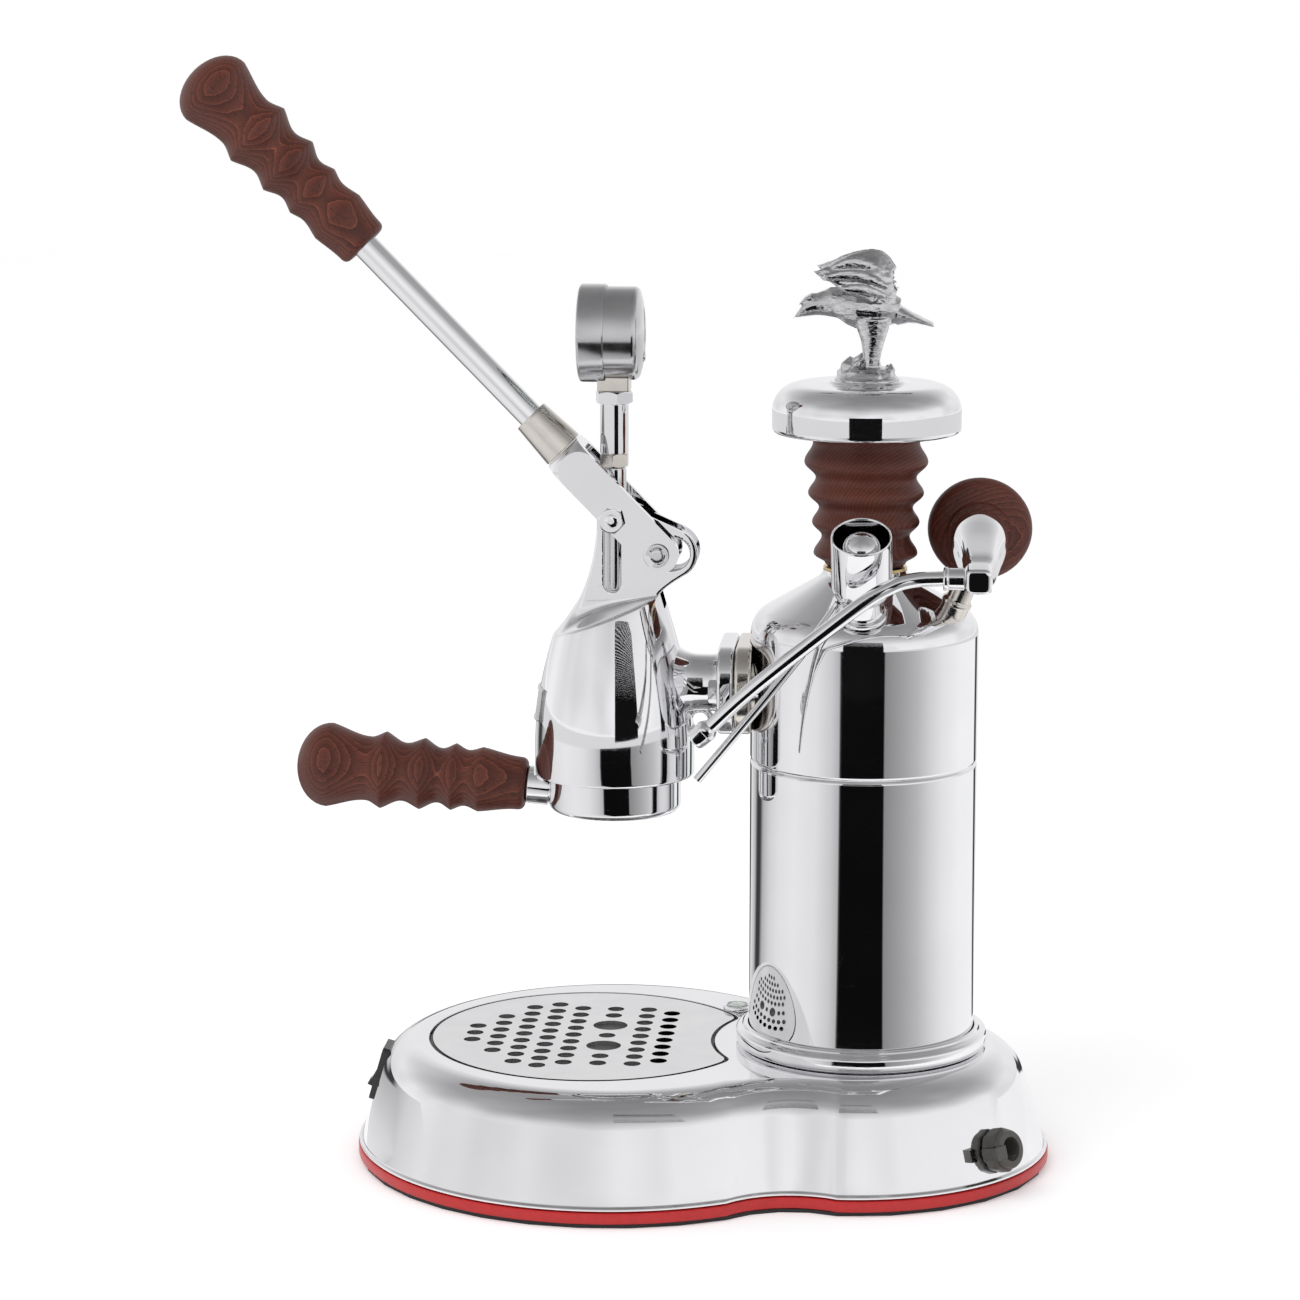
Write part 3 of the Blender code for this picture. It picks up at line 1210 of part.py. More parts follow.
def lug_turn():
    """Angle of the bayonet's entry gaps away from the locked position."""
    return math.radians(50)


def flange_plate(name, start, thickness, look=None):
    """A flange with rounded ends, upright across X."""
    corner = flange_half_height * 0.75
    wide, tall = flange_half_width - corner, flange_half_height - corner
    outline = []
    for index, (sy, sz) in enumerate(((1, 1), (-1, 1), (-1, -1), (1, -1))):
        begin = index * math.pi / 2
        outline += arc((sy * wide, sz * tall), corner, begin, begin + math.pi / 2, 4)
    plate = flat(name, [outline], 0, thickness, look)
    middle = start + thickness / 2
    plate.matrix_world = Matrix(((0, 0, 1, middle), (1, 0, 0, 0), (0, 1, 0, neck_z), (0, 0, 0, 1)))
    return plate


def build_piston():
    """Piston with two seals on its rod, at the top of the stroke."""
    at = (group_x, 0, 0)
    stroke = link_ratio() * lever_swing
    screen_top = bell_bottom + ledge_thickness + lug_groove_height + gap + gasket_height
    bottom = screen_top + piston_low + stroke
    top = bottom + piston_height
    body = cylinder_radius - gap
    groove = body - seal_depth
    marks = [bottom + piston_height * 0.16, bottom + piston_height * 0.16 + seal_height,
             top - piston_height * 0.16 - seal_height, top - piston_height * 0.16]
    bore = piston_rod_radius * 0.7
    profile = [(bore + gap, top), (body, top), (body, marks[3]), (groove, marks[3]), (groove, marks[2]),
               (body, marks[2]), (body, marks[1]), (groove, marks[1]), (groove, marks[0]), (body, marks[0]),
               (body, bottom), (bore + gap, bottom)]
    turned("piston", profile, brass, at, steps=medium_steps)
    for name, low in (("piston_seal_lower", marks[0]), ("piston_seal_upper", marks[2])):
        ring(name, body + gap / 3, groove + gap, low + gap, low + seal_height - gap, black_rubber, at,
             steps=medium_steps)
    rod_top = locknut_z + locknut_height * 2
    profile = [(0, rod_top), (piston_rod_radius * 0.7, rod_top), (piston_rod_radius * 0.7, locknut_z - gap),
               (piston_rod_radius, locknut_z - gap), (piston_rod_radius, top + gap), (bore, top + gap),
               (bore, bottom + gap), (0, bottom + gap)]
    rod = turned("piston_rod", profile, steel, at, steps=small_steps)
    cross = bar("cross_hole", front_pin_radius + gap, -2 * piston_rod_radius, 2 * piston_rod_radius,
                at=(group_x, 0, pin_z), axis=right, steps=tiny_steps)
    combine(rod, [cross])


def link_ratio():
    """Rise of the piston for one radian of the lever, the best straight fit to the linkage."""
    end = link_angle - lever_swing
    travel = link_length * (math.sin(link_angle) - math.sin(end))
    return travel / lever_swing * link_fit_share


def build_gauge():
    """Adapter on the piston rod, and the gauge with its dial, pointer, glass and bezel."""
    at = (group_x, 0, 0)
    nut_top = locknut_z + locknut_height
    tube_top = nut_top + adapter_height
    adapter = hexagon("gauge_adapter", locknut_width, locknut_z, nut_top, nickel, at)
    tube = bar("adapter_tube", adapter_radius, nut_top - locknut_height / 2, tube_top + upper_nut_height / 2,
               at=at, steps=small_steps)
    upper = hexagon("adapter_nut", upper_nut_width, tube_top, tube_top + upper_nut_height, None, at)
    combine(adapter, [tube, upper], "UNION")
    thread = bar("adapter_thread", piston_rod_radius * 0.7 + gap, locknut_z - overrun,
                 locknut_z + locknut_height * 2 + gap, at=at, steps=tiny_steps)
    combine(adapter, [thread])

    face = Vector((gauge_front_x, 0, gauge_z))
    back = -front
    depth = gauge_back_x - gauge_front_x
    floor = depth - gauge_wall
    profile = [(0, depth), (gauge_radius - gauge_wall, depth), (gauge_radius, depth - gauge_wall),
               (gauge_radius, gauge_wall * 2), (gauge_radius - gauge_wall, gauge_wall * 2),
               (gauge_radius - gauge_wall, floor), (0, floor)]
    case = turned("gauge_case", profile, chrome, face, back, medium_steps)
    stem_bottom = tube_top + upper_nut_height + gap
    stem_top = gauge_z - bezel_radius - gap
    stem_height = stem_top - stem_bottom
    stem = block("gauge_stem", (stem_side, stem_side, stem_height), None,
                 (group_x, 0, stem_bottom + stem_height / 2))
    neck_front = gauge_front_x + bezel_width + gap
    neck_back = group_x + stem_side / 2
    neck_top = gauge_z - gauge_radius + gauge_wall / 2
    neck = bar("stem_neck", (neck_back - neck_front) / 2, stem_top - gauge_wall, neck_top,
               at=((neck_back + neck_front) / 2, 0, 0), steps=tiny_steps)
    combine(case, [stem, neck], "UNION")
    inner = gauge_radius - gauge_wall - gap
    profile = [(bezel_radius, bezel_width), (bezel_radius, gauge_wall / 2), (bezel_radius - gauge_wall / 2, 0),
               (inner - gauge_wall, 0), (inner - gauge_wall, gauge_wall), (gauge_radius + gap, gauge_wall),
               (gauge_radius + gap, bezel_width)]
    turned("gauge_bezel", profile, chrome, face, back, medium_steps)
    glass_start = gauge_wall + gap
    bar("gauge_glass", inner, glass_start, glass_start + glass_thickness, glass, face, back, medium_steps)
    ring("gauge_dial", inner, pointer_width, dial_depth, dial_depth + gauge_wall, white_enamel, face, back,
         medium_steps)
    needle_z = (glass_start + glass_thickness + dial_depth) / 2
    half = pointer_width / 2
    outline = arc((0, 0), pointer_width, math.radians(20), math.radians(340), 8)
    outline += [(pointer_length, 0)]
    needle = flat("gauge_pointer", [outline], needle_z - half / 2, needle_z + half / 2, black_plastic,
                  face, back, roll=pointer_rest())
    stud = bar("pointer_stud", half, needle_z, floor - gap, at=face, axis=back, steps=8)
    combine(needle, [stud], "UNION")


def pointer_rest():
    """Turn of the pointer at no pressure."""
    return math.radians(315)


def build_lever():
    """Fork, ferrule, rod and grip, with the pins, roller and ring, all on the fork's front pin."""
    pivot = bpy.data.objects.new("lever_pivot", None)
    parts.objects.link(pivot)
    tilt = lever_angle - math.pi / 2
    pivot.matrix_world = Matrix.Translation((group_x, 0, pin_z)) @ Matrix.Rotation(tilt, 4, "Y")
    frame = pivot.matrix_world
    along = frame.to_3x3() @ up
    across = frame.to_3x3() @ Vector((1, 0, 0))
    axis_point = frame.translation + across * fork_axis_offset
    rear_x, rear_z = rear_pin_place()
    rear_pin_at = Vector((rear_x, 0, rear_z))
    rear_along = (rear_pin_at - frame.translation).dot(along)

    outer = fork_half_gap + fork_arm
    tail = arc((fork_axis_offset, rear_along), fork_half_width, math.pi, 2 * math.pi, 10)
    outline = tail + [(fork_axis_offset + fork_half_width, fork_length),
                      (fork_axis_offset - fork_half_width, fork_length)]
    fork = upright("lever_fork", [outline], outer, chrome)
    fork.matrix_world = frame @ Matrix.Rotation(math.pi / 2, 4, "X")
    corner = math.hypot(outer, fork_half_width)
    root = fork_length - fork_gap_length
    nose = [(0, fork_length), (ferrule_radius, fork_length), (corner * 0.86, fork_length - root * 0.3),
            (corner, fork_gap_length - root), (corner, rear_along * 2), (0, rear_along * 2)]
    blank = turned("fork_blank", nose, None, axis_point, along, large_steps)
    combine(fork, [blank], "INTERSECT")
    deep = fork_gap_length - rear_along * 2
    slot_mid = axis_point + along * (fork_gap_length - deep / 2)
    basis = Matrix.Translation(slot_mid) @ Matrix.Rotation(tilt, 4, "Y")
    slot = block("fork_slot", (4 * fork_half_width, 2 * fork_half_gap, deep))
    slot.matrix_world = basis
    eyes = [bar("front_eye", front_pin_radius + pin_clearance, -2 * outer, 2 * outer, at=frame.translation,
                axis=right, steps=tiny_steps),
            bar("rear_eye", rear_pin_radius + pin_clearance, -2 * outer, 2 * outer, at=rear_pin_at,
                axis=right, steps=tiny_steps)]
    combine(fork, [slot, *eyes])

    ferrule_start = fork_length + gap
    ferrule_end = ferrule_start + ferrule_length
    bore = rod_radius + gap
    profile = [(ferrule_end_radius - gap, ferrule_end), (ferrule_end_radius, ferrule_end - gap),
               (ferrule_radius, ferrule_start), (bore, ferrule_start), (bore, ferrule_end)]
    ferrule = turned("lever_ferrule", profile, nickel, axis_point, along, medium_steps)
    rod = bar("lever_rod", rod_radius, ferrule_start, grip_start + rod_in_grip, steel, axis_point, along, small_steps)
    handle = grip("lever_grip", lever_grip_radii, lever_grip_shares, grip_length, bore, rod_in_grip + gap,
                  axis_point + along * grip_start, along)

    head = outer + gap
    bolt = hexagon("front_bolt", front_bolt_width, head, head + bolt_head_height * 0.9, chrome,
                   frame.translation, right)
    shank = bar("bolt_shank", front_pin_radius, -outer, head + bolt_head_height / 2, at=frame.translation,
                axis=right, steps=tiny_steps)
    combine(bolt, [shank], "UNION")
    head_radius = ring_radius
    groove = rear_pin_radius * 0.8
    end = outer + gap + 2 * ring_thickness + 2 * gap
    profile = [(0, end), (rear_pin_radius, end), (rear_pin_radius, outer + ring_thickness + 3 * gap),
               (groove, outer + ring_thickness + 3 * gap), (groove, outer + gap), (rear_pin_radius, outer + gap),
               (rear_pin_radius, -outer - gap), (head_radius, -outer - gap),
               (head_radius, -outer - gap - 2 * ring_thickness), (0, -outer - gap - 2 * ring_thickness)]
    pin = turned("rear_pin", profile, steel, rear_pin_at, right, small_steps)
    mouth = math.radians(35)
    clip = arc((0, 0), ring_radius, mouth, 2 * math.pi - mouth, tiny_steps)
    clip += arc((0, 0), groove + gap / 2, 2 * math.pi - mouth, mouth, tiny_steps)
    clip_piece = flat("retaining_ring", [clip], outer + 2 * gap, outer + 2 * gap + ring_thickness, steel,
                      rear_pin_at, right)
    roller = ring("rear_roller", roller_radius, rear_pin_radius + gap, -ear_half_width, ear_half_width, steel,
                  rear_pin_at, right, small_steps)
    for piece in (fork, ferrule, rod, handle, bolt, pin, clip_piece, roller):
        hang(piece, pivot)


def build_portafilter():
    """Ring with two bayonet lugs and a handle bar, the basket in it and the wooden grip."""
    at = (group_x, 0, 0)
    mouth_top = bell_bottom + ledge_thickness + lug_groove_height
    rim_top = mouth_top - basket_wall - gap
    inner = filter_radius - filter_wall
    profile = [(filter_radius, rim_top), (filter_radius, filter_bottom + filter_edge),
               (filter_radius - filter_edge * 0.3, filter_bottom + filter_edge * 0.3),
               (filter_radius - filter_edge, filter_bottom), (inner - basket_wall, filter_bottom),
               (inner - basket_wall, filter_bottom + basket_wall * 2), (inner, filter_bottom + basket_wall * 2),
               (inner, rim_top)]
    body = turned("portafilter_body", profile, chrome, at, steps=medium_steps)
    lugs = []
    for mid in (math.pi / 2, -math.pi / 2):
        wedge = arc((0, 0), filter_radius - filter_wall / 2, mid + lug_half_angle, mid - lug_half_angle, 6)
        wedge += arc((0, 0), filter_radius + lug_reach, mid - lug_half_angle, mid + lug_half_angle, 6)
        low = bell_bottom + ledge_thickness + gap
        lugs.append(flat("lug", [wedge], low, mouth_top - 3 * gap, at=at))
    toward = Vector((-math.cos(handle_rise), 0, math.sin(handle_rise)))
    start = Vector((group_x - filter_radius + filter_wall / 2, 0,
                    handle_axis_z - (handle_grip_gap_x - group_x + filter_radius) * -math.tan(handle_rise)))
    length = (start.x - handle_grip_gap_x) / math.cos(handle_rise)
    profile = [(0, length + stud_length), (spindle_radius, length + stud_length), (spindle_radius, length),
               (bar_end_radius, length), (bar_radius, length - bar_radius + bar_end_radius), (bar_radius, 0), (0, 0)]
    rod = turned("handle_bar", profile, None, start, toward, small_steps)
    combine(rod, [ring("bell_clearance", bell_radii[0] + 2 * gap, filter_radius - filter_wall / 4,
                       bell_bottom - gap, bell_bottom + 2 * bar_radius, None, at, steps=medium_steps)])
    combine(body, [*lugs, rod], "UNION")
    handle = grip("portafilter_grip", handle_grip_radii, handle_grip_shares, handle_grip_length,
                  spindle_radius + gap, stud_length + gap, start + toward * (length + gap), toward)
    wall = inner - gap
    low = mouth_top - gap - basket_depth
    lip = filter_radius - basket_wall
    top = mouth_top - gap
    floor_radius = wall * basket_taper_share
    profile = [(0, low + basket_wall), (floor_radius - basket_wall, low + basket_wall),
               (wall - basket_wall, top), (lip, top), (lip, top - basket_wall), (wall, top - basket_wall),
               (floor_radius, low), (0, low)]
    turned("portafilter_basket", profile, steel, at, steps=medium_steps)


build_base()
build_tray()
build_base_fittings()
build_boiler()
build_safety_valve()
build_tap()
build_cap()
build_group()
build_piston()
build_gauge()
build_lever()
build_portafilter()
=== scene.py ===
"""Looks for the lever espresso machine. The operator stands at -X and the camera on the -Y side."""
import math

import bmesh
import bpy
import numpy as np
from mathutils import Matrix, Vector


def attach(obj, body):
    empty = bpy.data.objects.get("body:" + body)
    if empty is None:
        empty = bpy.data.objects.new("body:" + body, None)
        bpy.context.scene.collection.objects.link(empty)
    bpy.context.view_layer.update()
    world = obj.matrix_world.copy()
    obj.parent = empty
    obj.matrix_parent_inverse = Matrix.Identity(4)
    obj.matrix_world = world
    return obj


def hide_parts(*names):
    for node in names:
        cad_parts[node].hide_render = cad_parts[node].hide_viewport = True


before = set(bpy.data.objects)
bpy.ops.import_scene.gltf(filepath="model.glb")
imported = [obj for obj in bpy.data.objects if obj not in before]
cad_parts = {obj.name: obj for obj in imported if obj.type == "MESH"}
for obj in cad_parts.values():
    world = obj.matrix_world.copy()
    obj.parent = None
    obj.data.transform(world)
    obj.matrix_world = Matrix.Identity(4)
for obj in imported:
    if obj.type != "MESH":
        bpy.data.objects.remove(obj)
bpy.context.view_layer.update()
scene = bpy.context.scene
scene.view_settings.view_transform = "Standard"

# Studio: a pale floor in a bright room with one soft lamp over the operator's right. A blind of black
# slats, a ring of toned cloth and a grey floor are seen by polished metal alone, for its dark bands.


def drop_selection():
    """Leave edit mode and select nothing, so the next operator acts on its own piece alone."""
    if bpy.context.object and bpy.context.object.mode != "OBJECT":
        bpy.ops.object.mode_set(mode="OBJECT")
    bpy.ops.object.select_all(action="DESELECT")


def facing(azimuth, elevation):
    """Direction away from the machine. Azimuth 0 is the camera's side and 90 the boiler's end."""
    a, e = math.radians(azimuth), math.radians(elevation)
    return Vector((math.sin(a) * math.cos(e), -math.cos(a) * math.cos(e), math.sin(e)))


def feed(node, inputs):
    """Give each of a node's inputs its value or its link."""
    for socket, given in inputs.items():
        if isinstance(given, bpy.types.NodeSocket):
            node.id_data.links.new(given, node.inputs[socket])
        else:
            node.inputs[socket].default_value = given
    return node


def put(nodes, kind, inputs=None, **options):
    """Add a shader node, set its options and feed its inputs."""
    node = nodes.new("ShaderNode" + kind)
    for option, value in options.items():
        setattr(node, option, value)
    return feed(node, inputs or {})


def blend(nodes, first, second, share, how="MIX"):
    """The colour between two tones."""
    mix = put(nodes, "Mix", {"A": first, "B": second, "Factor": share}, data_type="RGBA", blend_type=how)
    return mix.outputs["Result"]


def ramp(nodes, level, stops):
    """A colour for a level, from places and tones in rising order."""
    scale = put(nodes, "ValToRGB", {"Fac": level})
    for index, (place, tone) in enumerate(stops):
        marks = scale.color_ramp.elements
        stop = marks[index] if index < 2 else marks.new(place)
        stop.position = place
        stop.color = tone
    return scale.outputs["Color"]


def new_look(name):
    made = bpy.data.materials.new(name)
    made.use_nodes = True
    return made, made.node_tree.nodes, made.node_tree.nodes["Principled BSDF"]


drop_selection()
look_at = Vector((-0.02215, 0, 0.2147))
away = facing(4.74, 10.36)
bpy.ops.object.camera_add(location=look_at + away * 1.684)
camera = bpy.context.object
camera.rotation_euler = (-away).to_track_quat("-Z", "Y").to_euler()
camera.data.lens = 112.85
camera.data.sensor_width = 36
camera.data.clip_start = 0.05
scene.camera = camera

room = bpy.data.worlds.new("light_tent")
scene.world = room
room.use_nodes = True
nodes = room.node_tree.nodes
ray = put(nodes, "LightPath")
where = put(nodes, "TexCoord")
cloth = put(nodes, "TexNoise", {"Scale": 1.7, "Detail": 1, "Vector": where.outputs["Generated"]})
folds = put(nodes, "MapRange", {"From Min": 0.3, "From Max": 0.62, "To Min": 0.80,
                                "Value": cloth.outputs["Fac"]})
split = put(nodes, "SeparateXYZ", {"Vector": where.outputs["Generated"]})
tones = ((0.0, 1.0), (0.30, 0.93), (0.48, 0.72), (0.70, 0.46), (1.0, 0.30))
height = ramp(nodes, split.outputs["Z"], [(place, (tone, tone, tone * 1.01, 1)) for place, tone in tones])
dim = blend(nodes, height, folds.outputs["Result"], 1, "MULTIPLY")
seen = blend(nodes, (0.86, 0.86, 0.87, 1), dim, ray.outputs["Is Glossy Ray"])
clear_ray = put(nodes, "Math", {0: ray.outputs["Is Camera Ray"], 1: ray.outputs["Is Transmission Ray"]},
                operation="MAXIMUM")
feed(nodes["Background"], {"Color": blend(nodes, seen, (1, 1, 1, 1), clear_ray.outputs["Value"])})

bpy.ops.object.light_add(type="AREA", location=(-0.55, -0.75, 1.35))
lamp = bpy.context.object
lamp.data.shape = "RECTANGLE"
lamp.data.size = 0.9
lamp.data.size_y = 0.6
lamp.data.energy = 5.5
lamp.visible_glossy = False
lamp.rotation_euler = (look_at - lamp.location).to_track_quat("-Z", "Y").to_euler()

bpy.ops.mesh.primitive_plane_add(size=9, location=(0, 0, 0))
table = bpy.context.object
table.name = "studio_floor"
table_look, nodes, paint = new_look("pale_table")
ray = put(nodes, "LightPath")
both = put(nodes, "Math", {0: ray.outputs["Is Camera Ray"], 1: ray.outputs["Is Glossy Ray"]},
           operation="MAXIMUM")
lift = put(nodes, "Math", {0: both.outputs["Value"], 1: 0.20}, operation="MULTIPLY")
feed(paint, {"Base Color": (0.92, 0.92, 0.92, 1), "Specular IOR Level": 0, "Roughness": 0.6,
             "Emission Color": (1, 1, 1, 1), "Emission Strength": lift.outputs["Value"]})
table.data.materials.append(table_look)


def only_reflected(board, paper, shader, glow):
    """Stage a board of glowing paper that only polished metal sees."""
    feed(shader, {"Base Color": (0, 0, 0, 1), "Specular IOR Level": 0, "Emission Color": glow,
                  "Emission Strength": 1})
    board.data.materials.append(paper)
    for sight in ("visible_camera", "visible_diffuse", "visible_shadow", "visible_transmission"):
        setattr(board, sight, False)


# Black slats stand close to the boiler like a blind. The boiler's upper part, the group's bell and the
# cap's rim see them full on, as a black band, and the base sees them edge on, so its shoulder stays clear.
drop_selection()
bpy.ops.mesh.primitive_plane_add(size=1, location=(0, 0, 0))
blind = bpy.context.object
blind.name = "black_blind"
bpy.ops.object.mode_set(mode="EDIT")
bpy.ops.transform.resize(value=(0.1662, 0.0045, 1), center_override=(0, 0, 0))
bpy.ops.object.mode_set(mode="OBJECT")
blind.rotation_euler.x = math.radians(-51)
bpy.ops.object.transform_apply(rotation=True)
slats = blind.modifiers.new("slats", "ARRAY")
slats.count = 57
slats.use_relative_offset = False
slats.use_constant_offset = True
slats.constant_offset_displace = (0, 0, 0.003)
bpy.ops.object.modifier_apply(modifier="slats")
blind.location = (0.0693, -0.25, 0.166)
bpy.ops.object.transform_apply(location=True)
paper, nodes, shader = new_look("black_paper")
only_reflected(blind, paper, shader, (0.006, 0.006, 0.006, 1))

# A ring of cloth lies round the machine and turns up at its rim. Its tone changes with the direction:
# upright chrome shows it as one black band, white on the band's left and soft greys on its right.
drop_selection()
boiler_x, cloth_start, cloth_end = 0.0664, 0.235, 0.92
bpy.ops.mesh.primitive_circle_add(vertices=180, radius=cloth_start, location=(boiler_x, 0, 0.0015),
                                  fill_type="NOTHING")
skirt = bpy.context.object
skirt.name = "toned_cloth"
bpy.ops.object.mode_set(mode="EDIT")
bpy.ops.mesh.select_all(action="SELECT")
bpy.ops.mesh.extrude_region_move(TRANSFORM_OT_translate={"value": (0, 0, 0.0001)})
bpy.ops.transform.resize(value=(cloth_end / cloth_start, cloth_end / cloth_start, 1),
                         center_override=(boiler_x, 0, 0.0016))
bpy.ops.mesh.extrude_region_move(TRANSFORM_OT_translate={"value": (0, 0, 0.0760)})
bpy.ops.object.mode_set(mode="OBJECT")
paper, nodes, shader = new_look("toned_cloth_paper")
where = put(nodes, "TexCoord")
around = put(nodes, "TexGradient", {"Vector": where.outputs["Object"]}, gradient_type="RADIAL")
tones = ((-90, 0.86), (-70, 0.92), (-46, 0.86), (-30, 0.68), (-22, 0.50), (-21, 0.004), (21.5, 0.004),
         (22.5, 0.28), (42, 0.42), (56, 0.54), (70, 0.72), (86, 0.88), (112, 1.0), (148, 1.0), (150, 0.05),
         (157, 0.05), (160, 0.9), (184, 0.9), (190, 0.02), (203, 0.02), (207, 0.85), (222, 0.55), (229, 0.05),
         (237, 0.05), (243, 0.5), (256, 0.74), (269.9, 0.86))
stops = [(0.25 + azimuth / 360, (tone, tone, tone * 1.01, 1)) for azimuth, tone in tones]
only_reflected(skirt, paper, shader, ramp(nodes, around.outputs["Fac"], stops))

# Past the cloth's rim lies a light grey floor of the same glowing paper, also seen by polished metal
# alone. It keeps the flat faces of the fork and ears from burning out.
drop_selection()
bpy.ops.mesh.primitive_circle_add(vertices=90, radius=0.94, location=(boiler_x, 0, 0.0014),
                                  fill_type="NOTHING")
far_floor = bpy.context.object
far_floor.name = "far_floor"
bpy.ops.object.mode_set(mode="EDIT")
bpy.ops.mesh.select_all(action="SELECT")
bpy.ops.mesh.extrude_region_move()
bpy.ops.transform.resize(value=(3.6, 3.6, 1), center_override=(boiler_x, 0, 0.0014))
bpy.ops.object.mode_set(mode="OBJECT")
paper, nodes, shader = new_look("far_floor_paper")
only_reflected(far_floor, paper, shader, (0.78, 0.78, 0.79, 1))

# Base: a deep-drawn and chromed sheet shell of two round lobes with a drawn-in waist. A rolled lip
# sits on the red trim, and the flat top has a sunk, rounded opening for the drip tray and grille.


def bench_turn(piece, at, along=(0, 0, 1)):
    """Lay a piece that was made on the bench along its own axis in the machine."""
    turn = Vector(along).to_track_quat("Z", "Y").to_matrix().to_4x4()
    if Vector(along).normalized().z > 0.99999:
        turn = Matrix.Identity(4)
    piece.matrix_world = Matrix.Translation(at) @ turn
    return piece


def choose(piece):
    drop_selection()
    piece.select_set(True)
    bpy.context.view_layer.objects.active = piece


def apply_step(piece, kind, **settings):
    """Add one modifier to a piece and apply it."""
    choose(piece)
    step = piece.modifiers.new(kind.lower(), kind)
    for key, value in settings.items():
        setattr(step, key, value)
    bpy.ops.object.modifier_apply(modifier=step.name)
    return piece


def fit_together(piece, tools, how="DIFFERENCE"):
    """Cut tools out of a piece or join them to it, and put the tools away."""
    for tool in tools:
        apply_step(piece, "BOOLEAN", operation=how, object=tool, solver="EXACT")
        bpy.data.objects.remove(tool)
    return piece


def ease_edges(piece, width, segments=3, angle=34):
    """Take the sharpness off every corner, as polishing does."""
    return apply_step(piece, "BEVEL", width=width, segments=segments, limit_method="ANGLE",
                      angle_limit=math.radians(angle), use_clamp_overlap=True, miter_outer="MITER_ARC")


def settle(piece, body, replaced, finish, crisp=34, weighted=True):
    """Set a finished piece in the machine: place into the mesh, finish on, riding on its body."""
    choose(piece)
    bpy.ops.object.transform_apply(location=True, rotation=True, scale=True)
    bpy.ops.object.shade_smooth_by_angle(angle=math.radians(crisp))
    if weighted:
        apply_step(piece, "WEIGHTED_NORMAL", keep_sharp=True)
    piece.data.materials.clear()
    piece.data.materials.append(finish)
    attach(piece, body)
    if replaced:
        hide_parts(*replaced)
    return piece


def wrap_sheet(name, rings, start_cap=True, end_cap=True):
    """Bend a sheet of squares round a row of closed sections, weld its seam and close its ends."""
    around, along = len(rings[0]), len(rings)
    drop_selection()
    bpy.ops.mesh.primitive_grid_add(x_subdivisions=around, y_subdivisions=along - 1, size=1)
    piece = bpy.context.object
    piece.name = name
    places = [ring[i % around] for ring in rings for i in range(around + 1)]
    for vertex, place in zip(piece.data.vertices, places):
        vertex.co = place
    bpy.ops.object.mode_set(mode="EDIT")
    bpy.ops.mesh.select_all(action="SELECT")
    bpy.ops.mesh.remove_doubles(threshold=0.000002)
    if start_cap or end_cap:
        bpy.ops.mesh.select_all(action="DESELECT")
        bpy.ops.mesh.select_mode(type="EDGE")
        bpy.ops.mesh.select_non_manifold(extend=False)
        if start_cap and end_cap:
            bpy.ops.mesh.fill_holes(sides=0)
        else:
            cage = bmesh.from_edit_mesh(piece.data)
            keep, drop = Vector(rings[0][0]), Vector(rings[-1][0])
            if end_cap:
                keep, drop = drop, keep
            for edge in cage.edges:
                middle = (edge.verts[0].co + edge.verts[1].co) / 2
                if edge.select and (middle - drop).length < (middle - keep).length:
                    edge.select_set(False)
            bpy.ops.mesh.edge_face_add()
    bpy.ops.mesh.select_all(action="SELECT")
    bpy.ops.mesh.normals_make_consistent(inside=False)
    bpy.ops.mesh.select_mode(type="VERT")
    bpy.ops.object.mode_set(mode="OBJECT")
    return piece


def arc_line(center, radius, start, end, steps):
    """Points along an arc in degrees, both ends included."""
    x, y = center
    turns = [math.radians(start + (end - start) * i / steps) for i in range(steps + 1)]
    return [(x + radius * math.cos(a), y + radius * math.sin(a)) for a in turns]


def join_all(pieces):
    """Join pieces into the first of them."""
    drop_selection()
    for piece in pieces:
        piece.select_set(True)
    bpy.context.view_layer.objects.active = pieces[0]
    bpy.ops.object.join()
    return bpy.context.object


def in_mm(*points):
    """Millimetres on a drawing, as the scene's metres."""
    return [tuple(round(n / 1000, 7) for n in point) for point in points]


def spread(nodes, level, low, high):
    """A level laid out from a low to a high value."""
    return put(nodes, "MapRange", {"Value": level, "To Min": low, "To Max": high}).outputs["Result"]


def bumps(nodes, height, strength, depth):
    """Relief from a height, for a shader's normal."""
    return put(nodes, "Bump", {"Strength": strength, "Distance": depth, "Height": height}).outputs["Normal"]


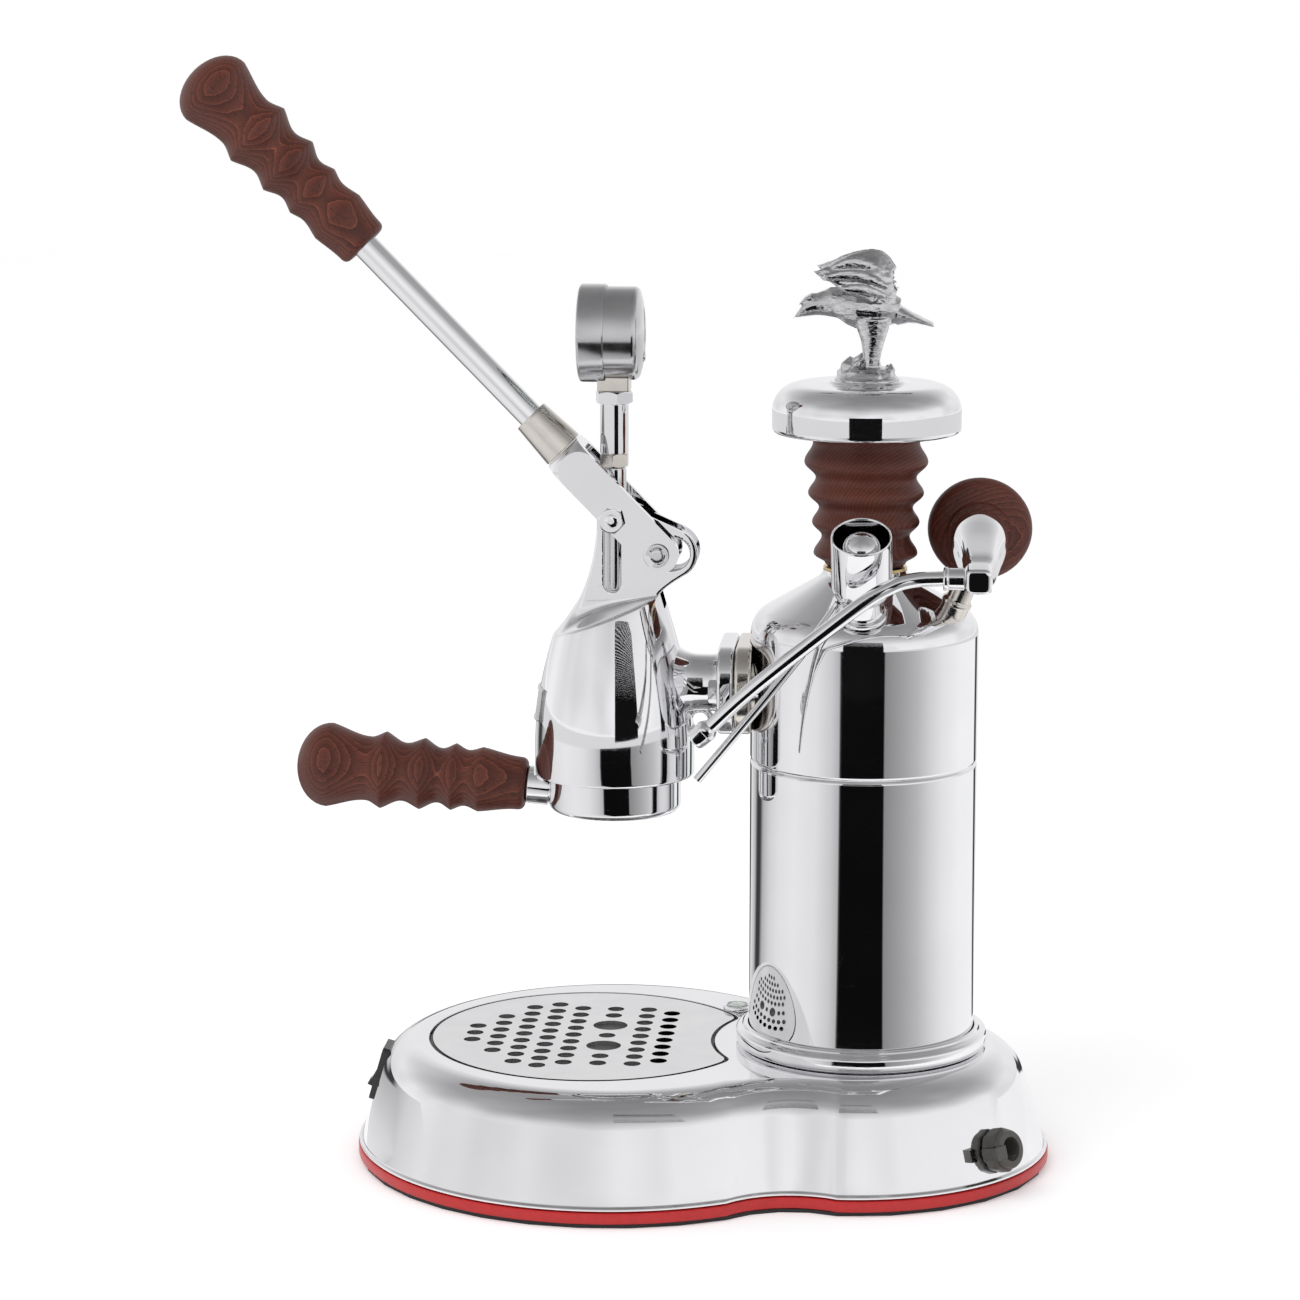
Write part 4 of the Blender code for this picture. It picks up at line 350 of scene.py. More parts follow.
def polish_group():
    """Traces of polishing and wiping: faint cloudy patches, hairline scratches and a soft ripple."""
    group = bpy.data.node_groups.new("polish_traces", "ShaderNodeTree")
    for title, kind in (("Vector", "NodeSocketVector"), ("Patch size", "NodeSocketFloat"),
                        ("Lowest", "NodeSocketFloat"), ("Highest", "NodeSocketFloat")):
        group.interface.new_socket(title, in_out="INPUT", socket_type=kind)
    for title in ("Roughness", "Patches", "Ripple"):
        group.interface.new_socket(title, in_out="OUTPUT", socket_type="NodeSocketFloat")
    nodes = group.nodes
    given, made = nodes.new("NodeGroupInput"), nodes.new("NodeGroupOutput")
    cloud = put(nodes, "TexNoise", {"Detail": 5, "Vector": given.outputs["Vector"],
                                    "Scale": given.outputs["Patch size"]})
    stretch = put(nodes, "Mapping", {"Rotation": (0.4, 0.9, 0.3), "Scale": (60, 1500, 900),
                                     "Vector": given.outputs["Vector"]})
    hair = put(nodes, "TexNoise", {"Scale": 1, "Detail": 2, "Vector": stretch.outputs["Vector"]})
    line = put(nodes, "MapRange", {"From Min": 0.64, "From Max": 0.74, "Value": hair.outputs["Fac"]})
    level = put(nodes, "MapRange", {"From Min": 0.35, "From Max": 0.75, "Value": cloud.outputs["Fac"],
                                    "To Min": given.outputs["Lowest"], "To Max": given.outputs["Highest"]})
    rough = put(nodes, "Math", {1: 0.05, 0: line.outputs["Result"], 2: level.outputs["Result"]},
                operation="MULTIPLY_ADD")
    feed(made, {"Roughness": rough.outputs["Value"], "Patches": cloud.outputs["Fac"],
                "Ripple": cloud.outputs["Fac"]})
    return group


polish = polish_group()


def metal(name, bright, dull, low, high, patch=30, ripple=0.0):
    """A bare or plated metal, from its bright and dull tones and its range of roughness."""
    look, nodes, shader = new_look(name)
    where = put(nodes, "TexCoord")
    marks = put(nodes, "Group", node_tree=polish)
    feed(marks, {"Patch size": patch, "Lowest": low, "Highest": high, "Vector": where.outputs["Object"]})
    feed(shader, {"Metallic": 1, "Roughness": marks.outputs["Roughness"],
                  "Base Color": blend(nodes, (*dull, 1), (*bright, 1), marks.outputs["Patches"])})
    if ripple:
        feed(shader, {"Normal": bumps(nodes, marks.outputs["Ripple"], ripple, 0.0004)})
    return look


chrome = metal("polished_chrome", (0.90, 0.90, 0.91), (0.80, 0.80, 0.815), 0.015, 0.055)


def lobed_outline(inset, height):
    """The base's outline from above, drawn in by an inset, at one height."""
    front_radius, rear_radius = 0.1068 - inset, 0.0836 - inset
    front_x, rear_x = 0.0160 - 0.09 * inset, 0.0600 + 0.06 * inset
    half = 0.0800 - 0.873 * inset
    front_angle = math.degrees(math.acos((front_x + 0.0379) / front_radius))
    rear_angle = math.degrees(math.acos((rear_x - 0.0612) / rear_radius))
    front_arc = arc_line((-0.0379, 0), front_radius, front_angle, 360 - front_angle, 110)
    rear_arc = arc_line((0.0612, 0), rear_radius, -rear_angle, rear_angle, 64)
    a, c = complex(*front_arc[-1]), complex(*rear_arc[0])
    b = complex((front_x + rear_x) / 2, -half)
    w = (c - a) / (b - a)
    middle = a + (b - a) * (w - abs(w) ** 2) / (w - w.conjugate())
    begin = math.degrees(math.atan2((a - middle).imag, (a - middle).real))
    sweep = math.degrees(math.atan2(((c - middle) / (a - middle)).imag, ((c - middle) / (a - middle)).real))
    near = arc_line((middle.real, middle.imag), abs(a - middle), begin, begin + sweep, 18)
    far = [(x, -y) for x, y in reversed(near)]
    return [(x, y, height) for x, y in front_arc + near[1:-1] + rear_arc + far[1:-1]]


def grille_line(growth, fine=3):
    """The drip grille's outline: a circle bitten by an arc round the boiler, with rounded corners."""
    bite, radius, apart = 0.06276 - growth, 0.0670 + growth, 0.1129
    along = (apart ** 2 + radius ** 2 - bite ** 2) / (2 * apart)
    corner = math.acos(along / radius)
    open_turn = math.asin(radius * math.sin(corner) / bite)
    trim, inner_trim = math.degrees(0.005 / radius), math.degrees(0.005 / bite)
    corner, open_turn = math.degrees(corner), math.degrees(open_turn)
    outer = arc_line((-0.0465, 0), radius, corner + trim, 360 - corner - trim, 32 * fine)
    inner = arc_line((0.0664, 0), bite, 180 + open_turn - inner_trim, 180 - open_turn + inner_trim, 7 * fine)
    tip = Vector((-0.0465 + along, radius * math.sin(math.radians(corner))))

    def turn_corner(begin, point, end):
        begin, end = Vector(begin), Vector(end)
        shares = (0.17, 0.33, 0.5, 0.67, 0.83)
        return [tuple(begin * (1 - t) ** 2 + point * 2 * t * (1 - t) + end * t * t) for t in shares]

    near = turn_corner(outer[-1], Vector((tip.x, -tip.y)), inner[0])
    far = turn_corner(inner[-1], tip, outer[0])
    return outer + near + inner + far


def sheet_cut(name, outline, bottom, top):
    """A flat block with a drawn outline, from one height to another."""
    return wrap_sheet(name, [[(x, y, bottom) for x, y in outline], [(x, y, top) for x, y in outline]])


tilt = math.radians(16.5)
foot_z, top_z, shoulder = 0.0083, 0.0496, 0.0170
start_z = top_z - shoulder * (1 - math.sin(tilt))
start_inset = 0.0014 + (start_z - foot_z) * math.tan(tilt)
levels = in_mm((0.6, 6.9), (0, 7.2), (0, 7.9), (0.4, 8.3), (1.1, 8.3), (1.6, 8.9))
levels += [(start_inset - (start_z - z) * math.tan(tilt), z) for z in (0.014, 0.022, 0.030)]
for i in range(15):
    a = tilt + (math.pi / 2 - tilt) * i / 14
    levels.append((start_inset + shoulder * (math.cos(tilt) - math.cos(a)),
                   top_z - shoulder * (1 - math.sin(a))))
shell = wrap_sheet("base_shell_drawn", [lobed_outline(inset, z) for inset, z in levels])
fit_together(shell, [sheet_cut("recess", grille_line(0.0016), 0.0468, 0.0530),
                     sheet_cut("well", grille_line(-0.0016), 0.0195, 0.0500)])
ease_edges(shell, 0.0005, 3, 40)
settle(shell, "base", ["base_shell"], chrome, crisp=40)

# Red trim: a moulded strip that grips the shell's lower edge and shows as a thin line all round.
# It is glossy plastic in two reds with a fine mould texture.


def moulded(name, dark, light, low, high, scale, detail, strength, depth):
    """Rubber or plastic between two tones, with a fine moulded grain."""
    look, nodes, shader = new_look(name)
    where = put(nodes, "TexCoord")
    pores = put(nodes, "TexNoise", {"Scale": scale, "Detail": detail, "Vector": where.outputs["Object"]})
    grain = pores.outputs["Fac"]
    feed(shader, {"Base Color": blend(nodes, (*dark, 1), (*light, 1), grain),
                  "Roughness": spread(nodes, grain, low, high),
                  "Normal": bumps(nodes, grain, strength, depth)})
    return look


red_plastic = moulded("red_trim_plastic", (0.42, 0.012, 0.014), (0.62, 0.022, 0.022), 0.25, 0.48, 420, 3,
                      0.25, 0.0001)
sections = in_mm((0.4, 1.8), (-0.3, 2.4), (-0.3, 5.9), (0.4, 6.5), (5.8, 6.6), (5.8, 1.8))
strip = wrap_sheet("red_trim_strip", [lobed_outline(i, z) for i, z in sections + sections[:1]], False, False)
settle(strip, "base", ["base_trim"], red_plastic, crisp=50)


def dull_black(name, tone, low, high, scale=300, depth=0.00008):
    """Rubber or plastic in a near-black tone, with a fine moulded grain."""
    return moulded(name, [c * 0.7 for c in tone], [c * 1.4 for c in tone], low, high, scale, 4, 0.4, depth)


def keep_node(node, look):
    """A solid whose shape is right stays, with this finish."""
    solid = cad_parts[node]
    for place in solid.material_slots:
        place.material = look


black_rubber = dull_black("black_rubber", (0.02, 0.02, 0.021), 0.55, 0.8)
keep_node("bottom_plate", black_rubber)

# Drip tray and grille: a pressed steel basin hangs in the opening by its flange, and the pierced
# plate lies on it, flush with the base. The two big holes are for lifting the plate with a finger.
steel = metal("polished_steel", (0.80, 0.80, 0.80), (0.62, 0.62, 0.63), 0.06, 0.16, 60)
pitch, first_x, lift_column = 0.01042, -0.09615, 5.362
plate_low, punch_z = 0.0481, 0.0488
columns = [(0, (-1, 0, 1)), (1, (-2.5, -1.5, -0.5, 0.5, 1.5, 2.5)), (2, range(-4, 5)),
           (3, [k + 0.5 for k in range(-5, 5)]), (4, range(-4, 5)), (lift_column, (-4, -3, 0, 3, 4)),
           (6.724, range(-4, 5)), (7.724, [k + 0.5 for k in range(-4, 4)])]
plate = sheet_cut("drip_grille_plate", grille_line(0), plate_low, top_z)
drop_selection()
bpy.ops.mesh.primitive_cylinder_add(vertices=24, radius=0.00355, depth=0.006, location=(0, 0, punch_z))
punch = bpy.context.object
punches = []
for column, rows in columns:
    for row in rows:
        made = punch.copy()
        made.data = punch.data.copy()
        scene.collection.objects.link(made)
        made.location = (first_x + column * pitch, row * pitch, punch_z)
        punches.append(made)
for side in (-1, 1):
    drop_selection()
    bpy.ops.mesh.primitive_cylinder_add(vertices=40, radius=0.00725, depth=0.006,
                                        location=(first_x + lift_column * pitch, side * 1.5 * pitch, punch_z))
    punches.append(bpy.context.object)
bpy.data.objects.remove(punch)
fit_together(plate, [join_all(punches)])
ease_edges(plate, 0.00035, 2, 40)
settle(plate, "drip_grille", ["drip_grille"], steel, crisp=40)

rings = [[(x, y, z) for x, y in grille_line(g, 2)] for g, z in
         in_mm((1.3, 48.1), (1.3, 47.2), (-2.2, 47.2), (-3, 46.4), (-5.5, 27.5), (-8.5, 24.3))]
basin = wrap_sheet("drip_tray_basin", rings, False, True)
apply_step(basin, "SOLIDIFY", thickness=0.0008, offset=-1, use_even_offset=True)
ease_edges(basin, 0.0003, 2, 40)
# Painted shade: the basin's steel is toned near-black and rough, so the well under the grille reads dark
# through its holes.
shade_dark_basin_steel = metal("basin_steel_painted_shade", (0.075, 0.075, 0.075), (0.035, 0.035, 0.035), 0.38, 0.5, 60)
settle(basin, "drip_tray", ["drip_tray"], shade_dark_basin_steel, crisp=40)

# Power switch on the front wall: a black plastic frame with rounded corners and a curved rocker
# that carries the usual 1 and 0, moulded in white.
black_plastic = dull_black("black_plastic", (0.018, 0.018, 0.019), 0.18, 0.34, 500, 0.00003)
white_ink = metal("white_marking", (0.85, 0.85, 0.84), (0.78, 0.78, 0.77), 0.4, 0.5)
white_ink.node_tree.nodes["Principled BSDF"].inputs["Metallic"].default_value = 0


def wall_place(center_x, radius, height, turn):
    """Point and outward direction on the base's sloping wall."""
    reach = radius - 0.0014 - (height - foot_z) * math.tan(tilt)
    out = Vector((math.cos(turn), math.sin(turn), 0))
    return Vector((center_x, 0, height)) + out * reach, out * math.cos(tilt) + Vector((0, 0, math.sin(tilt)))


def rounded_line(half_x, half_y, corner, steps=6):
    """A rectangle with round corners, as points from the +X side."""
    line = []
    for index, (sx, sy) in enumerate(((1, 1), (-1, 1), (-1, -1), (1, -1))):
        begin = index * 90
        line += arc_line((sx * (half_x - corner), sy * (half_y - corner)), corner, begin, begin + 90, steps)
    return line


spot, outward = wall_place(-0.0379, 0.1068, 0.0325, math.pi)
frame_plate = sheet_cut("switch_frame", rounded_line(0.00855, 0.01155, 0.0018), -0.0040, 0.0015)
fit_together(frame_plate, [sheet_cut("pocket", rounded_line(0.0050, 0.0080, 0.0006), -0.0030, 0.0040)])
ease_edges(frame_plate, 0.0004, 3)
settle(bench_turn(frame_plate, spot, outward), "base", ["switch_body"], black_plastic)

button = sheet_cut("switch_rocker", rounded_line(0.0046, 0.0074, 0.0005), -0.0030, 0.0034)
drop_selection()
dish_radius, dish_height = 0.024, 0.0258
bpy.ops.mesh.primitive_cylinder_add(vertices=120, radius=dish_radius, depth=0.03,
                                    location=(0, 0, dish_height), rotation=(0, math.pi / 2, 0))
fit_together(button, [bpy.context.object])
ease_edges(button, 0.0003, 2)
axle = Matrix.Translation((0, 0, -0.0017))
rocker_turn = axle @ Matrix.Rotation(math.radians(-8), 4, "X") @ axle.inverted()
button.matrix_world = bench_turn(button, spot, outward).matrix_world @ rocker_turn
settle(button, "rocker", ["power_rocker"], black_plastic)
for name, shift in (("switch_mark_on", 0.0042), ("switch_mark_off", -0.0042)):
    drop_selection()
    if shift > 0:
        bpy.ops.mesh.primitive_cylinder_add(vertices=12, radius=0.00024, depth=0.0024,
                                            rotation=(math.pi / 2, 0, 0))
        bpy.ops.object.transform_apply(rotation=True)
    else:
        bpy.ops.mesh.primitive_torus_add(major_radius=0.0011, minor_radius=0.00022, major_segments=32,
                                         minor_segments=8)
    mark = bpy.context.object
    mark.name = name
    ease_edges(mark, 0.0001, 2)
    dish = dish_height - math.sqrt(dish_radius ** 2 - shift ** 2)
    on_rocker = Matrix.Translation((0, shift, dish)) @ Matrix.Rotation(math.asin(shift / dish_radius), 4, "X")
    wall_turn = outward.to_track_quat("Z", "Y").to_matrix().to_4x4()
    mark.matrix_world = Matrix.Translation(spot) @ wall_turn @ rocker_turn @ on_rocker
    settle(mark, "rocker", [], white_ink)

# Pilot lamp on the base's flat: a chromed ring with a clear, slightly green lens over a small bulb.
# Its two pieces are turned, as are most of the pieces that follow.


def turn_piece(name, profile, steps=96, hollow=False):
    """Raise a round piece from a circle, extruding and scaling the last ring again and again."""
    drop_selection()
    radius, height = profile[0]
    bpy.ops.mesh.primitive_circle_add(vertices=steps, radius=radius, location=(0, 0, height),
                                      fill_type="NOTHING" if hollow else "NGON")
    piece = bpy.context.object
    piece.name = name
    bpy.ops.object.transform_apply(location=True)
    bpy.ops.object.mode_set(mode="EDIT")
    bpy.ops.mesh.select_all(action="SELECT")
    for next_radius, next_height in profile[1:]:
        bpy.ops.mesh.extrude_region_move(TRANSFORM_OT_translate={"value": (0, 0, next_height - height)})
        grow = next_radius / radius
        bpy.ops.transform.resize(value=(grow, grow, 1), center_override=(0, 0, next_height))
        radius, height = next_radius, next_height
    bpy.ops.mesh.select_all(action="SELECT")
    if hollow:
        bpy.ops.mesh.remove_doubles(threshold=0.000002)
    bpy.ops.mesh.normals_make_consistent(inside=False)
    bpy.ops.object.mode_set(mode="OBJECT")
    return piece


lamp_at = (0.0118, 0.0461, 0.0498)
lens_look, nodes, shader = new_look("lamp_lens")
where = put(nodes, "TexCoord")
ribs = put(nodes, "TexVoronoi", {"Scale": 900, "Vector": where.outputs["Object"]}).outputs["Distance"]
feed(shader, {"Base Color": blend(nodes, (0.72, 0.80, 0.74, 1), (0.86, 0.90, 0.86, 1), ribs),
              "Roughness": 0.08, "Transmission Weight": 0.7, "IOR": 1.49,
              "Normal": bumps(nodes, ribs, 0.3, 0.0002)})
rim = turn_piece("lamp_ring", in_mm(
    (5.8, 0), (6.1, 0.2), (6.1, 1.2), (5.8, 1.7), (5.2, 1.8), (4.6, 1.3), (4.4, 0.4), (5.8, 0)), 64, True)
settle(bench_turn(rim, lamp_at), "base", ["pilot_lamp"], chrome)
lens = turn_piece("lamp_lens", in_mm(
    (4, -4), (4.4, 0.2), (4.4, 1.2), (4, 1.9), (3, 2.3), (1.6, 2.6), (0.3, 2.7)), 64)
settle(bench_turn(lens, lamp_at), "base", ["pilot_lamp"], lens_look)

# Cable gland low on the rear wall: a grey moulded nut with eight flats, notched for the spanner,
# and a round bore. The machine is shown without its lead.
grey_plastic = dull_black("grey_gland_plastic", (0.060, 0.056, 0.050), 0.22, 0.40, 350, 0.00006)
spot, outward = wall_place(0.0612, 0.0836, 0.0188, math.radians(-39))
gland = turn_piece("gland_nut", in_mm((6, -4), (6, 0.4), (9.4, 0.4), (9.4, 5.6), (8.8, 6.6)), 8)
apply_step(gland, "BEVEL", width=0.0012, segments=3, limit_method="ANGLE", angle_limit=math.radians(30))
nose = turn_piece("nose", in_mm((7.9, 2), (7.9, 8.2), (7.4, 9), (6, 9.2)), 48)
fit_together(gland, [nose], "UNION")
fit_together(gland, [turn_piece("bore", in_mm((4.7, -6), (4.7, 8.5), (5.2, 10)), 48)])
drop_selection()
bpy.ops.mesh.primitive_cube_add(size=1, location=(-0.0082, 0, 0.0070))
notch = bpy.context.object
notch.scale = (0.0060, 0.0052, 0.0080)
fit_together(gland, [notch])
ease_edges(gland, 0.0003, 2)
settle(bench_turn(gland, spot, outward), "base", ["cable_gland"], grey_plastic)

# Boiler: a spun brass vessel, chromed, with a rolled groove, a rounded shoulder, a cone and a neck.
# The collar is a pressed ring that hides its joint with the base.
boiler_at = (boiler_x, 0, 0)
shoulder_arc = arc_line((0.0348, 0.2235), 0.0120, 0, 59.6, 14)
cone_end = shoulder_arc[-1]
slope = math.tan(math.radians(30.4))


def cone_height(radius):
    """Height of the boiler's cone at a distance from the boiler's axis."""
    return cone_end[1] + (cone_end[0] - radius) * slope


profile = in_mm((46.8, 50), (46.8, 110), (46.8, 168.8), (46.68, 169.5), (46.2, 170.1), (46, 170.5),
                (46.2, 170.9), (46.68, 171.5), (46.8, 172.2), (46.8, 200))
profile += shoulder_arc + [(0.0300, cone_height(0.0300)), (0.0200, cone_height(0.0200))]
neck_foot = cone_height(0.0172)
profile += [(0.0185, cone_height(0.0185) + 0.0002), (0.0176, neck_foot + 0.0008),
            (0.0172, neck_foot + 0.0022)] + in_mm((17.2, 247.6), (16.8, 248.3), (14, 248.4))
vessel = turn_piece("boiler_vessel", profile, 128)
fit_together(vessel, [turn_piece("filling_bore", in_mm((13.8, 215), (13.8, 250)), 64)])
fit_together(vessel, [turn_piece("boss", in_mm((25, 38), (25, 50.2)), 64)], "UNION")
settle(bench_turn(vessel, boiler_at), "base", ["boiler_shell"], chrome, crisp=50)

profile = in_mm((47.1, 49.9), (47.1, 57.6)) + arc_line((0.0482, 0.0577), 0.0011, 180, 0, 8)
profile += [(0.0498, 0.0570)] + arc_line((0.0505, 0.0550), 0.0018, 80, 0, 6)
profile += in_mm((52.3, 53), (52.3, 51.6), (51.8, 50.6), (50.8, 50.2), (50.6, 49.9), (47.1, 49.9))
collar = turn_piece("boiler_collar_ring", profile, 128, True)
settle(bench_turn(collar, boiler_at), "base", ["boiler_collar"], chrome, crisp=50)

# Inside and under the machine: the brass nut that holds the boiler to the base, the element, and the
# cylinder sleeve, gasket, piston and shower screen in the bell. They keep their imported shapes.
brass = metal("turned_brass", (0.86, 0.66, 0.33), (0.62, 0.43, 0.18), 0.16, 0.34, 80, 0.3)
nickel = metal("satin_nickel", (0.82, 0.78, 0.73), (0.60, 0.56, 0.51), 0.12, 0.26, 90, 0.2)
for node in ("boiler_nut", "heating_element", "cap_plug", "group_sleeve", "piston"):
    keep_node(node, brass)
for node in ("cap_seal", "group_gasket", "piston_seal_lower", "piston_seal_upper"):
    keep_node(node, black_rubber)
for node in ("shower_screen", "safety_valve_ball", "safety_valve_spring", "tap_spindle"):
    keep_node(node, steel)

# Sight glass on the operator's left: two turned and chromed fittings, screwed into the boiler, clamp
# a glass tube in their nuts. The tube shows the water level.
sight_out = Vector((math.cos(math.radians(100)), math.sin(math.radians(100)), 0))
tube_line = Vector(boiler_at) + sight_out * 0.0600
for name, height, toward in (("sight_fitting_lower", 0.095, 1), ("sight_fitting_upper", 0.196, -1)):
    barrel = turn_piece(name + "_barrel", in_mm(
        (3, -11.2), (5, -10.6), (6.2, -9.8), (6.8, -8.8), (6.8, -6), (6, -5), (6, 1), (6.4, 1.6),
        (6.4, 3)), 48)
    nut = turn_piece("clamp_nut", in_mm((7.9, 3), (7.9, 10)), 6)
    cone = turn_piece("nut_cone", in_mm((7.9, 2.6), (8.3, 3.6), (8.3, 9.2), (7, 10.3)), 48)
    fit_together(nut, [cone], "INTERSECT")
    fit_together(barrel, [nut], "UNION")
    side = turn_piece("arm", in_mm((5, -14), (7, -13.6), (7, -11.8), (5, -11.2), (4.4, -9), (4.4, 0)), 48)
    side.matrix_world = Matrix.Rotation(math.pi / 2 * toward, 4, "Y")
    fit_together(barrel, [side], "UNION")
    fit_together(barrel, [turn_piece("socket", in_mm((5.3, 1), (5.3, 12)), 48)])
    ease_edges(barrel, 0.00025, 2)
    across = sight_out * toward
    third = Vector((0, 0, toward)).cross(across)
    barrel.matrix_world = Matrix(((across.x, third.x, 0, tube_line.x), (across.y, third.y, 0, tube_line.y),
                                  (0, 0, toward, height), (0, 0, 0, 1)))
    settle(barrel, "base", [name], chrome)
glass, nodes, shader = new_look("tube_glass")
where = put(nodes, "TexCoord")
film = put(nodes, "TexNoise", {"Scale": 90, "Vector": where.outputs["Object"]}).outputs["Fac"]
feed(shader, {"Base Color": blend(nodes, (0.95, 0.98, 0.97, 1), (0.90, 0.95, 0.94, 1), film), "IOR": 1.47,
              "Transmission Weight": 1, "Roughness": spread(nodes, film, 0.0, 0.05)})
tube = turn_piece("sight_tube", in_mm(
    (3.5, 96), (3.6, 95.6), (4.9, 95.6), (5, 96), (5, 195), (4.9, 195.4), (3.6, 195.4), (3.5, 195),
    (3.5, 96)), 48, True)
settle(bench_turn(tube, (tube_line.x, tube_line.y, 0)), "base", ["sight_glass"], glass)

# Filler cap: a turned beech grip of ripples, stained dark and waxed, under a domed chrome disc that
# is hot-proof to turn. The plug's thread is inside the boiler's neck.


def figure_group():
    """Beech figure on coordinates whose Z runs along the grain: ring bands, pores and short flecks."""
    group = bpy.data.node_groups.new("beech_figure", "ShaderNodeTree")
    group.interface.new_socket("Vector", in_out="INPUT", socket_type="NodeSocketVector")
    for title in ("Ring", "Fleck", "Cloud"):
        group.interface.new_socket(title, in_out="OUTPUT", socket_type="NodeSocketFloat")
    nodes = group.nodes
    given, made = nodes.new("NodeGroupInput"), nodes.new("NodeGroupOutput")
    lie = given.outputs["Vector"]
    heart = put(nodes, "Mapping", {"Location": (0.034, 0.012, 0), "Scale": (1, 1, 0.16), "Vector": lie})
    rings = put(nodes, "TexWave", {"Scale": 225, "Distortion": 2.2, "Detail": 3, "Detail Scale": 0.9,
                                   "Vector": heart.outputs["Vector"]},
                wave_type="RINGS", rings_direction="Z", wave_profile="SAW")
    fine = put(nodes, "Mapping", {"Scale": (2300, 2300, 330), "Vector": lie})
    fleck = put(nodes, "TexNoise", {"Scale": 1, "Detail": 2, "Vector": fine.outputs["Vector"]})
    cloud = put(nodes, "TexNoise", {"Scale": 38, "Detail": 3, "Vector": lie})
    feed(made, {"Ring": rings.outputs["Fac"], "Fleck": fleck.outputs["Fac"], "Cloud": cloud.outputs["Fac"]})
    return group


figure = figure_group()


def stained_beech(name, at, along, ring_depth=0.5):
    """Dark stained, waxed beech with its grain along a piece's axis."""
    look, nodes, shader = new_look(name)
    where = put(nodes, "TexCoord")
    lay = put(nodes, "Mapping", {"Location": at, "Rotation": Vector(along).to_track_quat("Z", "Y").to_euler(),
                                 "Vector": where.outputs["Object"]}, vector_type="TEXTURE")
    beech = put(nodes, "Group", {"Vector": lay.outputs["Vector"]}, node_tree=figure)
    rings = ramp(nodes, beech.outputs["Ring"], (
        (0.0, (0.27, 0.075, 0.038, 1)), (0.10, (0.150, 0.037, 0.022, 1)), (1.0, (0.078, 0.018, 0.011, 1))))
    shade = ramp(nodes, beech.outputs["Cloud"], ((0.3, (0.52, 0.48, 0.46, 1)), (0.7, (1, 1, 1, 1))))
    cloud = blend(nodes, rings, shade, 0.75, "MULTIPLY")
    pores = put(nodes, "MapRange", {"From Min": 0.56, "From Max": 0.70, "Value": beech.outputs["Fleck"]})
    relief = put(nodes, "Math", {0: pores.outputs["Result"], 1: -0.5, 2: beech.outputs["Ring"]},
                 operation="MULTIPLY_ADD")
    feed(shader, {"Base Color": blend(nodes, cloud, (0.030, 0.009, 0.006, 1), pores.outputs["Result"]),
                  "Roughness": spread(nodes, beech.outputs["Cloud"], 0.36, 0.56), "Specular IOR Level": 0.36,
                  "Normal": bumps(nodes, relief.outputs["Value"], ring_depth, 0.00006)})
    return look


def ripples(radii, heights, steps=7, keen=0.0):
    """A turned line through crests and valleys. Keen crests rise to more of an edge."""
    line = []
    for r0, h0, r1, h1 in zip(radii, heights, radii[1:], heights[1:]):
        for i in range(steps):
            soft = (1 - math.cos(math.pi * i / steps)) / 2
            sharp = 1 - math.cos(math.pi * i / steps / 2) if r1 > r0 else math.sin(math.pi * i / steps / 2)
            ease = soft * (1 - keen) + sharp * keen
            line.append((r0 + (r1 - r0) * ease, h0 + (h1 - h0) * i / steps))
    return line + [(radii[-1], heights[-1])]


low, high = 0.2514, 0.3060
crests = (0.0166, 0.0213, 0.0180, 0.0220, 0.0192, 0.0237, 0.0206, 0.0253, 0.0218, 0.0233)
steps_up = (0, 0.075, 0.21, 0.315, 0.43, 0.54, 0.66, 0.78, 0.93, 1)
profile = [(0.0052, low), (0.0150, low), (0.0158, low + 0.0003)]
profile += ripples(crests, [low + 0.0012 + (high - low - 0.0012) * s for s in steps_up])
grip = turn_piece("cap_grip_turned", profile + [(0.0052, high), (0.0052, low)], 128, True)
settle(bench_turn(grip, boiler_at), "cap", ["cap_grip"],
       stained_beech("beech_cap_grip", (0.0664, 0, 0.28), (0.35, 1, 0.1)), crisp=50)

profile = in_mm((5.2, 306.6), (36.6, 306.3), (37.6, 306.6), (38.4, 307.4), (38.6, 308.6), (38.6, 312))
profile += arc_line((0.0276, 0.3154), 0.0110, 2, 90, 16)[:-1]
profile += in_mm(
    (27.2, 326.4), (20, 326.45), (16.6, 326.5), (16, 326.8), (15.6, 327.4), (14.8, 327.8), (14, 327.7),
    (13.5, 327.2), (13.2, 326.6), (8, 326.5), (5.2, 326.4), (5.2, 306.6))
disc = turn_piece("cap_disc_domed", profile, 128, True)
settle(bench_turn(disc, boiler_at), "cap", ["cap_disc"], chrome, crisp=50)

# Finial: an eagle coming to rest on a rock, cast, chased and chromed. It is an old ornament of such
# machines, modelled here freely: limbs are swept, welded into one casting and given feather lines.


def sweep(name, spine, steps=20):
    """A limb of oval sections: each station is (x, y, z, half height, half width, lean in degrees)."""
    rings = []
    for x, y, z, tall, wide, lean in spine:
        lean = math.radians(lean)
        ring = []
        for i in range(steps):
            a = 2 * math.pi * i / steps
            c, s = math.cos(a) * tall, math.sin(a) * wide
            ring.append((x - c * math.sin(lean), y + s, z + c * math.cos(lean)))
        rings.append(ring)
    return wrap_sheet(name, rings)


def mm(*numbers):
    return tuple(n * 0.001 for n in numbers)


